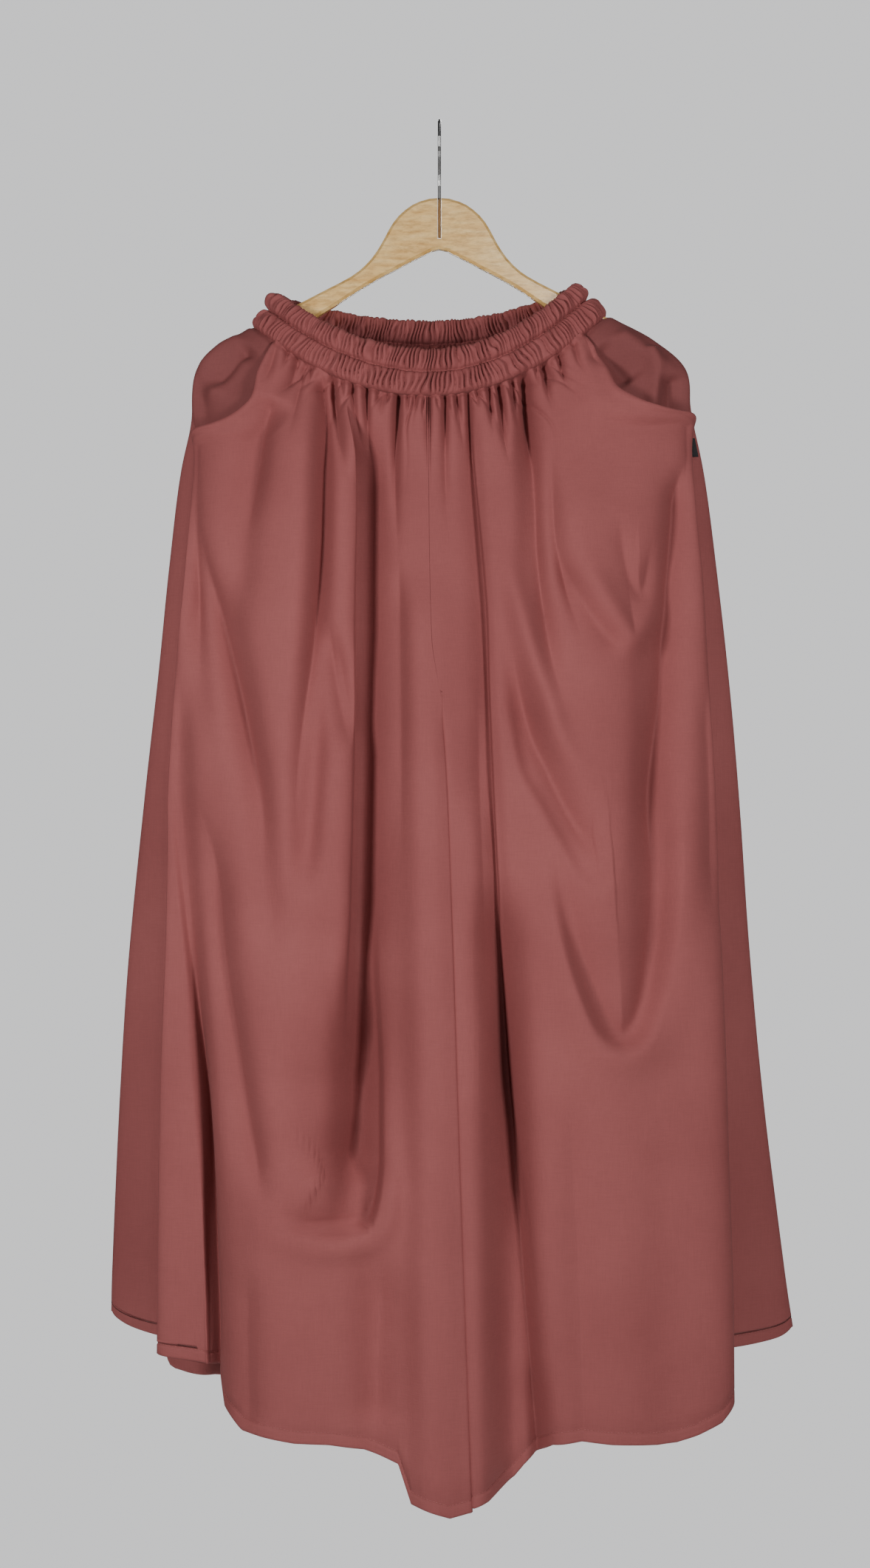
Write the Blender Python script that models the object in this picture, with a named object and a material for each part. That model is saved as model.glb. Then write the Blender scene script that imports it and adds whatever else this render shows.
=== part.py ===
"""Palazzo pants hung on a wooden hanger, at real size.

Units are metres and +Z is up. The front of the garment faces -Y, left and right are as seen
from the front, and the origin is the inner top of the hanger's hook.
"""

import math
from collections import namedtuple

import bmesh
import bpy
import numpy as np

COLLECTION = "palazzo_pants"
CUTTERS = "cutters"
LEFT, RIGHT = -1, 1
FRONT, BACK = -1, 1

# Cloth
WALL = 0.0015
BAND_WALL = 0.0018
SEAM_GAP = 0.0003
HEM_TURN = 0.011
HEM_OUTER = 0.0004
HEM_INNER = 0.0010
HEM_RAMP = 0.002
STEP = 0.001

# Places of the sections that other pieces refer to
WAIST, POCKET_END, LOW, HEM_LEVEL = 1, 5, 11, 12

# Each section is a ring round the garment. The heights are at the side seams and at the
# middle of the front and back. The reaches are from x = 0 to the outermost cloth. The recess
# is how far the side seam lies behind the front's edge, the power makes the ring rounder or
# squarer, and the parting is half the gap between the legs.
Section = namedtuple(
    "Section",
    "name left_z right_z front_z back_z left_back left_front right_front right_back "
    "centre front_depth back_depth recess power parting",
)
SECTIONS = (
    Section("band top", -.156, -.148, -.213, -.175, .148, .148, .122, .122, -.008, .041, .043, 0, 1.10, 0),
    Section("waist", -.186, -.176, -.255, -.221, .172, .172, .154, .154, -.010, .045, .047, 0, 1.06, 0),
    Section("arm", -.205, -.199, -.278, -.250, .203, .203, .196, .196, -.010, .048, .050, 0, 1.02, 0),
    Section("shoulder", -.227, -.226, -.302, -.280, .223, .223, .226, .226, -.010, .051, .054, 0, 1.00, 0),
    Section("hip", -.262, -.262, -.345, -.330, .236, .229, .232, .244, -.0095, .055, .059, .002, 1.00, 0),
    Section("pocket end", -.310, -.310, -.395, -.385, .257, .229, .236, .263, -.009, .060, .065, .008, 1.00, 0),
    Section("upper thigh", -.400, -.400, -.460, -.455, .270, .244, .252, .277, -.0075, .066, .072, .016, .98, 0),
    Section("seat", -.500, -.500, -.540, -.535, .282, .255, .260, .291, -.004, .072, .080, .022, .96, 0),
    Section("crotch", -.620, -.620, -.620, -.620, .298, .264, .268, .303, .001, .079, .088, .027, .94, 0),
    Section("knee", -.760, -.760, -.760, -.760, .315, .268, .272, .314, .006, .085, .094, .031, .90, .0006),
    Section("calf", -.900, -.900, -.900, -.900, .326, .272, .277, .329, .0105, .090, .099, .034, .88, .0008),
    Section("low", -1.050, -1.050, -1.050, -1.050, .334, .274, .282, .350, .0155, .094, .103, .036, .86, .0010),
    Section("hem", -1.200, -1.200, -1.200, -1.200, .336, .275, .283, .360, .0225, .097, .107, .038, .85, .0012),
)
RECESS_ANGLE = math.radians(14)

# Levels between which the one ring of the hips turns into two rings, one for each leg
WRAP_START, WRAP_END = 6.8, 8.0

# Beside the centre the front turns in round a corner. The columns of the cloth are a little
# closer together towards it, and the slit between the legs leans, so that it shows no light.
CORNER_WIDTH = 0.020
CORNER_SHARE = 0.80
CORNER_POWER = 0.62
CROWDING = 1.15
CENTRE_LEAN = 0.006
LEAN_WIDTH = 0.25

# Height of the hem across each panel: 1 is the side seam and 0 the inseam.
HemPoint = namedtuple("HemPoint", "across left_front left_back right_front right_back")
HEM = (
    HemPoint(1.000, -1.118, -1.118, -1.128, -1.128),
    HemPoint(0.970, -1.120, -1.104, -1.148, -1.119),
    HemPoint(0.950, -1.121, -1.096, -1.160, -1.112),
    HemPoint(0.880, -1.123, -1.104, -1.178, -1.110),
    HemPoint(0.800, -1.127, -1.114, -1.187, -1.121),
    HemPoint(0.760, -1.131, -1.121, -1.190, -1.127),
    HemPoint(0.730, -1.163, -1.128, -1.192, -1.133),
    HemPoint(0.660, -1.178, -1.146, -1.193, -1.151),
    HemPoint(0.500, -1.187, -1.180, -1.191, -1.185),
    HemPoint(0.400, -1.189, -1.195, -1.188, -1.198),
    HemPoint(0.300, -1.194, -1.207, -1.192, -1.207),
    HemPoint(0.200, -1.206, -1.214, -1.212, -1.214),
    HemPoint(0.165, -1.240, -1.219, -1.222, -1.219),
    HemPoint(0.060, -1.251, -1.236, -1.239, -1.234),
    HemPoint(0.000, -1.247, -1.247, -1.244, -1.244),
)

# A fold runs down the cloth through three places across. A positive depth is a ridge and a
# negative one a valley; the lean makes its left (-1) or right (+1) flank the steeper one.
Fold = namedtuple("Fold", "name top_z low_z top_x mid_x low_x width depth lean")
FRONT_FOLDS = (
    Fold("left inner tube", -.40, -1.40, -.018, -.008, -.004, .026, .014, -.4),
    Fold("left inner valley", -.28, -1.02, -.047, -.056, -.076, .019, -.024, -.7),
    Fold("left flap", -.26, -.88, -.080, -.084, -.097, .020, .010, .6),
    Fold("left waist valley", -.24, -.72, -.101, -.104, -.119, .012, -.013, 0),
    Fold("left belly", -.24, -1.40, -.118, -.140, -.140, .046, .015, 0),
    Fold("left soft valley", -.23, -.48, -.152, -.167, -.172, .015, -.008, 0),
    Fold("left drag line", -.29, -.58, -.219, -.210, -.197, .012, -.007, 0),
    Fold("left slant drag", -.40, -.78, -.193, -.158, -.145, .014, -.008, 0),
    Fold("left side valley", -.48, -1.40, -.224, -.209, -.200, .017, -.028, .3),
    Fold("left low valley", -.98, -1.40, -.060, -.058, -.052, .018, -.007, 0),
    Fold("right centre crease", -.24, -.92, .026, .047, .062, .010, -.008, .3),
    Fold("right inner ridge", -.60, -1.40, .034, .037, .040, .016, .009, 0),
    Fold("right inner channel", -.68, -1.32, .053, .060, .066, .019, -.024, .3),
    Fold("right hip valley", -.23, -.46, .077, .078, .080, .011, -.007, 0),
    Fold("right belly", -.30, -1.40, .118, .122, .135, .055, .012, 0),
    Fold("right outer shade", -.40, -.86, .178, .181, .186, .016, -.008, 0),
    Fold("right side ridge", -.70, -1.40, .226, .232, .236, .022, .006, 0),
    Fold("right low shade", -.90, -1.40, .186, .190, .196, .020, -.009, 0),
)
BACK_FOLDS = (
    Fold("left flare valley", -.42, -1.40, -.212, -.222, -.232, .018, -.016, 0),
    Fold("left back ridge", -.30, -1.40, -.160, -.172, -.182, .034, .012, 0),
    Fold("left back valley", -.26, -1.30, -.098, -.112, -.122, .020, -.018, .3),
    Fold("left back roll", -.40, -1.40, -.052, -.060, -.066, .026, .012, 0),
    Fold("left seat valley", -.50, -1.40, -.020, -.018, -.012, .014, -.008, 0),
    Fold("right seat valley", -.52, -1.40, .022, .034, .046, .016, -.012, 0),
    Fold("right back roll", -.28, -1.40, .060, .078, .090, .030, .013, 0),
    Fold("right back valley", -.25, -1.28, .112, .128, .142, .019, -.018, -.3),
    Fold("right back ridge", -.34, -1.40, .168, .182, .196, .032, .011, 0),
    Fold("right flare valley", -.44, -1.40, .216, .232, .250, .018, -.016, 0),
)
FOLD_END = 0.07
SEAM_FADE = 0.08
CORNER_FADE = (0.72, 0.90)
CORNER_FADE_LEVELS = (6.5, 7.0)

# A swag hangs in a U between two places that hold the cloth up. It fades out between two
# shares of its half width.
Swag = namedtuple("Swag", "name tip_x tip_z half_width rise width depth")
FRONT_SWAGS = (
    Swag("right upper swag", .161, -.493, .060, .20, .016, .007),
    Swag("right middle dip", .138, -.693, .062, .25, .018, -.010),
    Swag("right lower dip", .160, -.836, .058, .13, .020, -.009),
    Swag("right low swag", .166, -.885, .070, .17, .018, .008),
)
BACK_SWAGS = (
    Swag("back left swag", -.150, -.560, .070, .22, .020, -.008),
    Swag("back right swag", .135, -.600, .066, .22, .020, -.008),
)
SWAG_POWER = 1.7
SWAG_FADE = (0.70, 1.15)

# Waistband: two elastic channels, with gathers raised on the outside
BAND_GATHERS = 60
BAND_ROWS = (0.0, 0.22, 0.45, 0.72, 1.0)
BAND_PUFF = (0.0003, 0.0020, 0.0, 0.0021, 0.0004)
BAND_RIDGE = (0.0005, 0.0009, 0.0003, 0.0010, 0.0004)
BAND_DIP = -0.4
BAND_INNER_ROWS = [0, 2, 4]

# Legs: columns of faces across a panel, and gathers below the waist
FRONT_COLUMNS = 38
BACK_COLUMNS = 27
FRONT_GATHERS = 14
BACK_GATHERS = 9
GATHER_DEPTH = 0.0022
GATHER_START = (0.8, 1.1)
GATHER_END = (1.2, 3.6)
POCKET_ROWS = 7
FRONT_ROWS = 13
BACK_TOP_ROWS = 6
BACK_ROWS = 8

# Pocket mouth: its share of the front panel from the side seam, from its top (part 0) to its
# end. The front panel's lip stands off the facing beside it, and gapes open in one place.
MouthPoint = namedtuple("MouthPoint", "part share")
MOUTH = (
    MouthPoint(0.00, 0.230),
    MouthPoint(0.27, 0.295),
    MouthPoint(0.55, 0.325),
    MouthPoint(0.80, 0.215),
    MouthPoint(1.00, 0.000),
)
MOUTH_END = {LEFT: 4.75, RIGHT: 4.35}
MOUTH_GAPE = {LEFT: 0.002, RIGHT: 0.007}
MOUTH_FADE = (0.1, 0.9)
MOUTH_JOIN = 0.62
GAPE_PART = 0.72
GAPE_LENGTH = 0.22
GAPE_SHARE = 0.15
LIP_GAP = 0.0008
LIP_SHARE = 0.05
LIP_FADE_SHARE = 0.11
LIP_END = (1.22, 1.50)
PLAIN_SHARE = 0.125
FACING_SHARE = 0.035
FACING_COLUMNS = 9
FACING_TAIL = 0.4

# Side tab
TAB_LEVEL = 4.80
TAB_SIZE = (0.011, 0.0010, 0.018)
TAB_SETBACK = 0.0007
TAB_OFF = 0.0017

# Hanger body: its upper and lower edges from the middle to the arm's end
HANGER_UPPER = (
    (0.000, -.0697), (.018, -.073), (.031, -.0805), (.042, -.092), (.0494, -.105),
    (.0572, -.1185), (.0677, -.1313), (.0806, -.1415), (.1015, -.1526), (.203, -.2098),
)
HANGER_LOWER = (
    (.2148, -.2228), (.2105, -.2332), (.2000, -.2300), (.0961, -.1690), (.0751, -.1550),
    (.0548, -.1430), (.0393, -.1350), (.0132, -.1215), (0.000, -.1165),
)
HANGER_THICKNESS = 0.012
HANGER_ROUNDING = 0.0025
SLOT_WIDTH = 0.0036
SLOT_TOP = -.0670
SLOT_BOTTOM = -.1076
WELD = 0.00005

# Hook
WIRE = 0.003
HOOK_RADIUS = 0.0180
HOOK_ARC_STEPS = 18
HOOK_BEND_STEPS = 6
HOOK_FRONT_ANGLE = math.radians(222)
HOOK_TIP_ANGLE = math.radians(-28)
HOOK_BEND_PULL = 1.2
SHANK_TOP = -.058


def smoothstep(low, high, value):
    part = np.clip((value - low) / (high - low), 0.0, 1.0)
    return part * part * (3 - 2 * part)


def signed_power(value, power):
    return np.sign(value) * np.abs(value) ** power


def hem_height(side, face, across):
    """Height of the hem at a place across a panel."""
    column = ("left" if side == LEFT else "right") + ("_front" if face == FRONT else "_back")
    rows = HEM[::-1]
    return np.interp(across, [row.across for row in rows], [getattr(row, column) for row in rows])


def section_at(level):
    """The section at a level, on smooth curves through the table, and the hem's part in it.

    The curves are the usual cubic ones that pass through each point of an even table.
    """
    count = len(SECTIONS)
    weights = []
    for place in range(-1, count + 1):
        gap = np.abs(level - place)
        near = 1.5 * gap**3 - 2.5 * gap**2 + 1
        far = -0.5 * gap**3 + 2.5 * gap**2 - 4 * gap + 2
        weights.append(np.where(gap < 1, near, np.where(gap < 2, far, 0.0)))
    before, after = weights[0], weights[-1]
    weights = weights[1:-1]
    weights[0] = weights[0] + 2 * before
    weights[1] = weights[1] - before
    weights[-1] = weights[-1] + 2 * after
    weights[-2] = weights[-2] - after
    values = []
    for field in Section._fields[1:]:
        values.append(sum(weight * getattr(row, field) for weight, row in zip(weights, SECTIONS)))
    return Section("between", *values), weights[-1]


def loft(side, face, share, level):
    """The cloth's main form, from the side seam (share 0) to the centre seam or inseam (1)."""
    section, hem_part = section_at(level)
    front_reach, back_reach, side_z = (
        (section.left_front, section.left_back, section.left_z)
        if side == LEFT
        else (section.right_front, section.right_back, section.right_z)
    )
    reach, depth, middle_z = (
        (front_reach, section.front_depth, section.front_z)
        if face == FRONT
        else (back_reach, section.back_depth, section.back_z)
    )
    seam = front_reach - section.recess
    inner = side * section.centre + section.parting + SEAM_GAP / 2
    wrap = smoothstep(WRAP_START, WRAP_END, level)

    # A quarter ring from the side to the corner beside the centre, then the corner itself
    outer_part = np.clip(share / CORNER_SHARE, 0, 1)
    angle = (1 - (1 - outer_part) ** CROWDING) * math.pi / 2
    edge = reach - (reach - seam) * np.exp(-((angle / RECESS_ANGLE) ** 2))
    corner = inner + CORNER_WIDTH
    reached = np.abs(np.cos(angle)) ** section.power
    inner_part = np.clip((share - CORNER_SHARE) / (1 - CORNER_SHARE), 0, 1)
    turn = inner_part * math.pi / 2
    flat_x = CORNER_WIDTH * inner_part
    round_x = CORNER_WIDTH * np.sin(turn) ** CORNER_POWER
    round_y = np.abs(np.cos(turn)) ** CORNER_POWER

    from_corner = flat_x + (round_x - flat_x) * wrap
    x = corner + (edge - corner) * reached - from_corner
    swell = np.abs(np.sin(angle)) ** section.power * (1 + (round_y - 1) * wrap)
    across = (corner + (reach - corner) * reached - from_corner - inner) / (reach - inner)
    lean = CENTRE_LEAN * wrap * (1 - smoothstep(0, LEAN_WIDTH, across)) * -face * swell
    z = middle_z + (side_z - middle_z) * across**2
    z = z + hem_part * (hem_height(side, face, across) - SECTIONS[HEM_LEVEL].front_z)
    return np.stack([side * x + lean, face * depth * swell, z], axis=-1)


def normals(form, side, face, share, level):
    """Unit normals of a form, pointing out of the garment."""
    share_low, share_high = np.clip(share - STEP, 0, 1), np.clip(share + STEP, 0, 1)
    level_low, level_high = level - STEP, level + STEP
    across = form(side, face, share_high, level) - form(side, face, share_low, level)
    down = form(side, face, share, level_high) - form(side, face, share, level_low)
    out = np.cross(down, across) * (side * face)
    return out / np.linalg.norm(out, axis=-1, keepdims=True)


def fold_relief(fold, x, z):
    """Height of one fold above the cloth's main form."""
    part = np.clip((fold.top_z - z) / (fold.top_z - fold.low_z), 0, 1)
    upper = fold.top_x + (fold.mid_x - fold.top_x) * 2 * part
    bow = fold.top_x - 2 * fold.mid_x + fold.low_x
    line = upper + bow * 2 * part * (part - 0.5)
    off = x - line
    width = fold.width * (1 + fold.lean * np.tanh(-off / fold.width))
    fade = smoothstep(0, FOLD_END, fold.top_z - z) * smoothstep(0, FOLD_END, z - fold.low_z)
    return fold.depth * fade * np.exp(-((off / width) ** 2))


def swag_relief(swag, x, z):
    """Height of one hanging swag above the cloth's main form."""
    off = np.abs(x - swag.tip_x) / swag.half_width
    line = swag.tip_z + swag.rise * off**SWAG_POWER
    slope = SWAG_POWER * swag.rise / swag.half_width * off ** (SWAG_POWER - 1)
    gap = (z - line) / np.sqrt(1 + slope**2)
    return swag.depth * (1 - smoothstep(*SWAG_FADE, off)) * np.exp(-((gap / swag.width) ** 2))


def relief(face, x, z):
    folds, swags = (FRONT_FOLDS, FRONT_SWAGS) if face == FRONT else (BACK_FOLDS, BACK_SWAGS)
    total = np.zeros_like(x)
    for fold in folds:
        total = total + fold_relief(fold, x, z)
    for swag in swags:
        total = total + swag_relief(swag, x, z)
    return total


def fold_fade(side, face, share, level):
    """Fades folds out at the side seam, beside the pocket mouth and between the legs."""
    parted = smoothstep(*CORNER_FADE_LEVELS, level)
    fade = smoothstep(0, SEAM_FADE, share) * (1 - parted * smoothstep(*CORNER_FADE, share))
    if face == FRONT:
        beside = 1 - smoothstep(LIP_SHARE, PLAIN_SHARE, share - mouth_share(side, level))
        fade = fade * (1 - beside * (1 - smoothstep(*MOUTH_FADE, level - MOUTH_END[side])))
    return fade


def cloth(side, face, share, level):
    """The cloth's outer face, with its folds and the gathers below the waist."""
    points = loft(side, face, share, level)
    out = normals(loft, side, face, share, level)
    height = relief(face, points[..., 0], points[..., 2]) * np.abs(out[..., 1])
    gathers = FRONT_GATHERS if face == FRONT else BACK_GATHERS
    wave = 0.5 - 0.5 * np.cos(2 * math.pi * gathers * share)
    gathered = smoothstep(*GATHER_START, level) * (1 - smoothstep(*GATHER_END, level))
    height = height + GATHER_DEPTH * wave * gathered
    height = height * fold_fade(side, face, share, level)
    return points + out * height[..., None]


def inset_edges(points, shifted, gap):
    """Draws the edges of a grid in by a gap, and moves a second grid alike.

    The side edges move only along Y and Z, because the centre seam is parted along X already.
    """
    for edge, within in ((0, 1), (-1, -2)):
        for axis in (0, 1):
            grid = np.moveaxis(points, axis, 0)
            other = np.moveaxis(shifted, axis, 0)
            way = grid[within] - grid[edge]
            move = way / np.linalg.norm(way, axis=-1, keepdims=True) * gap
            if axis == 1:
                move[..., 0] = 0
            grid[edge] += move
            other[edge] += move


def wall(name, outer, inner, material):
    """A closed sheet between two grids with the same columns; the inner may have fewer rows."""
    rows, columns = outer.shape[:2]
    inner_rows = inner.shape[0]
    shape = bmesh.new()
    out = [[shape.verts.new(point) for point in row] for row in outer]
    back = [[shape.verts.new(point) for point in row] for row in inner]
    for grid, count in ((out, rows), (back, inner_rows)):
        for row in range(count - 1):
            for column in range(columns - 1):
                corners = ((row, column), (row, column + 1), (row + 1, column + 1), (row + 1, column))
                shape.faces.new([grid[r][c] for r, c in corners])
    for row in (0, -1):
        for column in range(columns - 1):
            near, far = out[row], back[row]
            shape.faces.new([near[column], near[column + 1], far[column + 1], far[column]])
    for column in (0, -1):
        if rows == inner_rows:
            for row in range(rows - 1):
                pair = (out[row][column], out[row + 1][column])
                shape.faces.new([*pair, back[row + 1][column], back[row][column]])
        else:
            shape.faces.new([row[column] for row in out] + [row[column] for row in reversed(back)])
    bmesh.ops.triangulate(shape, faces=shape.faces)
    bmesh.ops.recalc_face_normals(shape, faces=shape.faces)
    mesh = bpy.data.meshes.new(name)
    shape.to_mesh(mesh)
    shape.free()
    mesh.shade_smooth()
    return add_object(name, mesh, material)


def add_object(name, data, material):
    data.materials.append(material)
    piece = bpy.data.objects.new(name, data)
    bpy.data.collections[COLLECTION].objects.link(piece)
    return piece


def make_material(name, colour, roughness, metallic=0.0):
    material = bpy.data.materials.new(name)
    material.use_nodes = True
    shader = material.node_tree.nodes["Principled BSDF"]
    shader.inputs["Base Color"].default_value = (*colour, 1.0)
    shader.inputs["Roughness"].default_value = roughness
    shader.inputs["Metallic"].default_value = metallic
    return material


def mouth_share(side, level):
    """Where the pocket mouth cuts the front panel; 0 below the pocket's end."""
    part = (level - WAIST) / (MOUTH_END[side] - WAIST)
    return np.interp(part, [row.part for row in MOUTH], [row.share for row in MOUTH])


def lip_height(side, share, level):
    """How far the front panel stands off the facing beside the pocket mouth."""
    beyond = share - mouth_share(side, level)
    part = (level - WAIST) / (MOUTH_END[side] - WAIST)
    across = 1 - smoothstep(LIP_SHARE, LIP_FADE_SHARE, beyond)
    down = 1 - smoothstep(*LIP_END, part)
    gape = MOUTH_GAPE[side] * np.exp(-(((part - GAPE_PART) / GAPE_LENGTH) ** 2))
    gape = gape * (1 - smoothstep(0, GAPE_SHARE, beyond))
    return (WALL + LIP_GAP) * across * down + gape


def hem_levels(side, face, share):
    """Levels of the hem's three rows: just above the turned edge, its top and its foot."""
    low = loft(side, face, share, np.full_like(share, float(LOW)))
    foot = loft(side, face, share, np.full_like(share, float(HEM_LEVEL)))
    drop = np.linalg.norm(foot - low, axis=-1)
    turn = HEM_LEVEL - HEM_TURN / drop
    return [turn - HEM_RAMP / drop, turn, np.full_like(share, float(HEM_LEVEL))]


def panel_wall(name, side, face, share, level, lift, material):
    """A leg panel with its hem, from the shares and levels of its rows and columns."""
    outer = cloth(side, face, share, level)
    out = normals(cloth, side, face, share, level)
    outer = outer + out * lift[..., None]
    thick = np.zeros(share.shape)
    thick[-2:] = 1
    inner = outer - out * (WALL + HEM_INNER * thick)[..., None]
    outer = outer + out * (HEM_OUTER * thick)[..., None]
    inset_edges(outer, inner, SEAM_GAP / 2)
    return wall(name, outer, inner, material)


def front_leg(side, material):
    levels = np.concatenate([
        np.linspace(WAIST, MOUTH_END[side], POCKET_ROWS + 1),
        np.linspace(POCKET_END, HEM_LEVEL, FRONT_ROWS + 1)[1:-1],
    ])
    part = np.linspace(0, 1, FRONT_COLUMNS + 1)
    start = mouth_share(side, levels)[:, None]
    near = start + (MOUTH_JOIN - start) * part / MOUTH_JOIN
    share = np.where(part < MOUTH_JOIN, near, part)
    hem = hem_levels(side, FRONT, part)
    level = np.vstack([np.repeat(levels[:, None], len(part), axis=1), *hem])
    share = np.vstack([share, part, part, part])
    lift = lip_height(side, share, level)
    name = "front_leg_left" if side == LEFT else "front_leg_right"
    return panel_wall(name, side, FRONT, share, level, lift, material)


def back_leg(side, material):
    levels = np.concatenate([
        np.linspace(WAIST, POCKET_END, BACK_TOP_ROWS + 1),
        np.linspace(POCKET_END, HEM_LEVEL, BACK_ROWS + 1)[1:-1],
    ])
    part = np.linspace(0, 1, BACK_COLUMNS + 1)
    hem = hem_levels(side, BACK, part)
    level = np.vstack([np.repeat(levels[:, None], len(part), axis=1), *hem])
    share = np.repeat(part[None, :], len(level), axis=0)
    name = "back_leg_left" if side == LEFT else "back_leg_right"
    return panel_wall(name, side, BACK, share, level, np.zeros(share.shape), material)


def pocket_facing(side, material):
    """The cloth beyond the pocket mouth, from the side seam to under the front panel's lip."""
    end = MOUTH_END[side]
    pitch = (end - WAIST) / POCKET_ROWS
    levels = np.append(np.linspace(WAIST, end, POCKET_ROWS + 1), end + pitch * FACING_TAIL)
    part = np.linspace(0, 1, FACING_COLUMNS + 1)
    reach = mouth_share(side, levels) + FACING_SHARE
    share = reach[:, None] * part[None, :]
    level = np.repeat(levels[:, None], len(part), axis=1)
    outer = cloth(side, FRONT, share, level)
    inner = outer - normals(cloth, side, FRONT, share, level) * WALL
    inset_edges(outer, inner, SEAM_GAP / 2)
    name = "pocket_facing_left" if side == LEFT else "pocket_facing_right"
    return wall(name, outer, inner, material)


def waistband(face, material):
    """Half of the elastic band, from side seam to side seam, gathered on its outside."""
    share = np.linspace(0, 1, BAND_GATHERS + 1)
    rows = []
    for level in BAND_ROWS:
        both = []
        for side in (LEFT, RIGHT):
            levels = np.full_like(share, level)
            points = loft(side, face, share, levels)
            out = normals(loft, side, face, share, levels)
            both.append((points, out))
        (left, left_out), (right, right_out) = both
        points = np.concatenate([left, right[-2::-1]])
        out = np.concatenate([left_out, right_out[-2::-1]])
        rows.append((points, out))
    base = np.array([points for points, _ in rows])
    out = np.array([normal for _, normal in rows])
    ridge = np.where(np.arange(base.shape[1]) % 2 == 1, 1.0, BAND_DIP)
    height = np.array(BAND_PUFF)[:, None] + np.array(BAND_RIDGE)[:, None] * ridge[None, :]
    outer = base + out * height[..., None]
    inner = base - out * BAND_WALL
    inset_edges(outer, inner, SEAM_GAP / 2)
    name = "waistband_front" if face == FRONT else "waistband_back"
    return wall(name, outer, inner[BAND_INNER_ROWS], material)


def side_tab(material):
    """A small bare tab that stands out of the right side seam."""
    share = np.zeros(1)
    level = np.full(1, TAB_LEVEL)
    root = loft(RIGHT, BACK, share, level)[0]
    out = normals(loft, RIGHT, BACK, share, level)[0]
    shape = bmesh.new()
    bmesh.ops.create_cube(shape, size=1.0)
    bmesh.ops.scale(shape, vec=TAB_SIZE, verts=shape.verts)
    mesh = bpy.data.meshes.new("side_tab")
    shape.to_mesh(mesh)
    shape.free()
    tab = add_object("side_tab", mesh, material)
    tab.location = root + out * (TAB_SIZE[0] / 2 + TAB_OFF)
    tab.location.y += TAB_SETBACK
    tab.rotation_euler = (0, -math.asin(out[2]), 0)
    return tab


def hanger_outline():
    """The hanger's edge: the right half, then its mirror."""
    right = HANGER_UPPER + HANGER_LOWER
    left = [(-x, z) for x, z in reversed(right[1:-1])]
    return list(right) + left


def hanger_curve():
    """The flat hanger with rounded edges, as a filled outline."""
    curve = bpy.data.curves.new("hanger_outline", "CURVE")
    curve.dimensions = "2D"
    curve.fill_mode = "BOTH"
    curve.extrude = HANGER_THICKNESS / 2 - HANGER_ROUNDING
    curve.bevel_depth = HANGER_ROUNDING
    curve.offset = -HANGER_ROUNDING
    curve.bevel_resolution = 0
    curve.resolution_u = 2
    outline = curve.splines.new("BEZIER")
    points = hanger_outline()
    outline.bezier_points.add(len(points) - 1)
    for knot, (x, z) in zip(outline.bezier_points, points):
        knot.co = (x, z, 0)
        knot.handle_left_type = "AUTO"
        knot.handle_right_type = "AUTO"
    outline.use_cyclic_u = True
    return curve


def slot_cutter():
    """A box that opens a slot for the hook's shank, down from the top of the hanger."""
    bpy.ops.mesh.primitive_cube_add(size=1)
    cutter = bpy.context.object
    cutter.name = "slot_cutter"
    cutter.scale = (SLOT_WIDTH, 2 * HANGER_THICKNESS, SLOT_TOP - SLOT_BOTTOM)
    cutter.location = (0, 0, (SLOT_TOP + SLOT_BOTTOM) / 2)
    cutter.hide_render = True
    cutter.display_type = "WIRE"
    for owner in list(cutter.users_collection):
        owner.objects.unlink(cutter)
    bpy.data.collections[CUTTERS].objects.link(cutter)
    return cutter


def hanger_body(material):
    """A flat wooden hanger with a slot that takes the hook's shank."""
    curve = hanger_curve()
    guide = bpy.data.objects.new("hanger_outline", curve)
    bpy.data.collections[CUTTERS].objects.link(guide)
    graph = bpy.context.evaluated_depsgraph_get()
    mesh = bpy.data.meshes.new_from_object(guide.evaluated_get(graph))
    bpy.data.objects.remove(guide, do_unlink=True)
    shape = bmesh.new()
    shape.from_mesh(mesh)
    bmesh.ops.remove_doubles(shape, verts=shape.verts, dist=WELD)
    shape.to_mesh(mesh)
    shape.free()
    mesh.name = "hanger_body"
    mesh.materials.clear()
    body = add_object("hanger_body", mesh, material)
    body.rotation_euler = (math.pi / 2, 0, 0)
    slot = body.modifiers.new("shank slot", "BOOLEAN")
    slot.operation = "DIFFERENCE"
    slot.object = slot_cutter()
    slot.solver = "EXACT"
    return body


def hook_path():
    """Centre line of the wire in the Y-Z plane: shank, bend and open circle."""
    centre_z = WIRE / 2 - HOOK_RADIUS
    arc = []
    for step in range(HOOK_ARC_STEPS + 1):
        angle = HOOK_FRONT_ANGLE + (HOOK_TIP_ANGLE - HOOK_FRONT_ANGLE) * step / HOOK_ARC_STEPS
        arc.append((HOOK_RADIUS * math.cos(angle), centre_z + HOOK_RADIUS * math.sin(angle)))
    start_y, start_z = arc[0]
    bend = []
    for step in range(HOOK_BEND_STEPS):
        part = step / HOOK_BEND_STEPS
        y = start_y * part * part * (1 + HOOK_BEND_PULL * (1 - part))
        bend.append((y, SHANK_TOP + (start_z - SHANK_TOP) * part))
    foot = SLOT_BOTTOM + WIRE / 2
    return [(0.0, foot)] + bend + arc


def hanger_hook(material):
    curve = bpy.data.curves.new("hanger_hook", "CURVE")
    curve.dimensions = "3D"
    curve.bevel_depth = WIRE / 2
    curve.bevel_resolution = 2
    curve.use_fill_caps = True
    path = hook_path()
    wire = curve.splines.new("POLY")
    wire.points.add(len(path) - 1)
    for point, (y, z) in zip(wire.points, path):
        point.co = (0.0, y, z, 1.0)
    wire.use_smooth = True
    return add_object("hanger_hook", curve, material)


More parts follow.
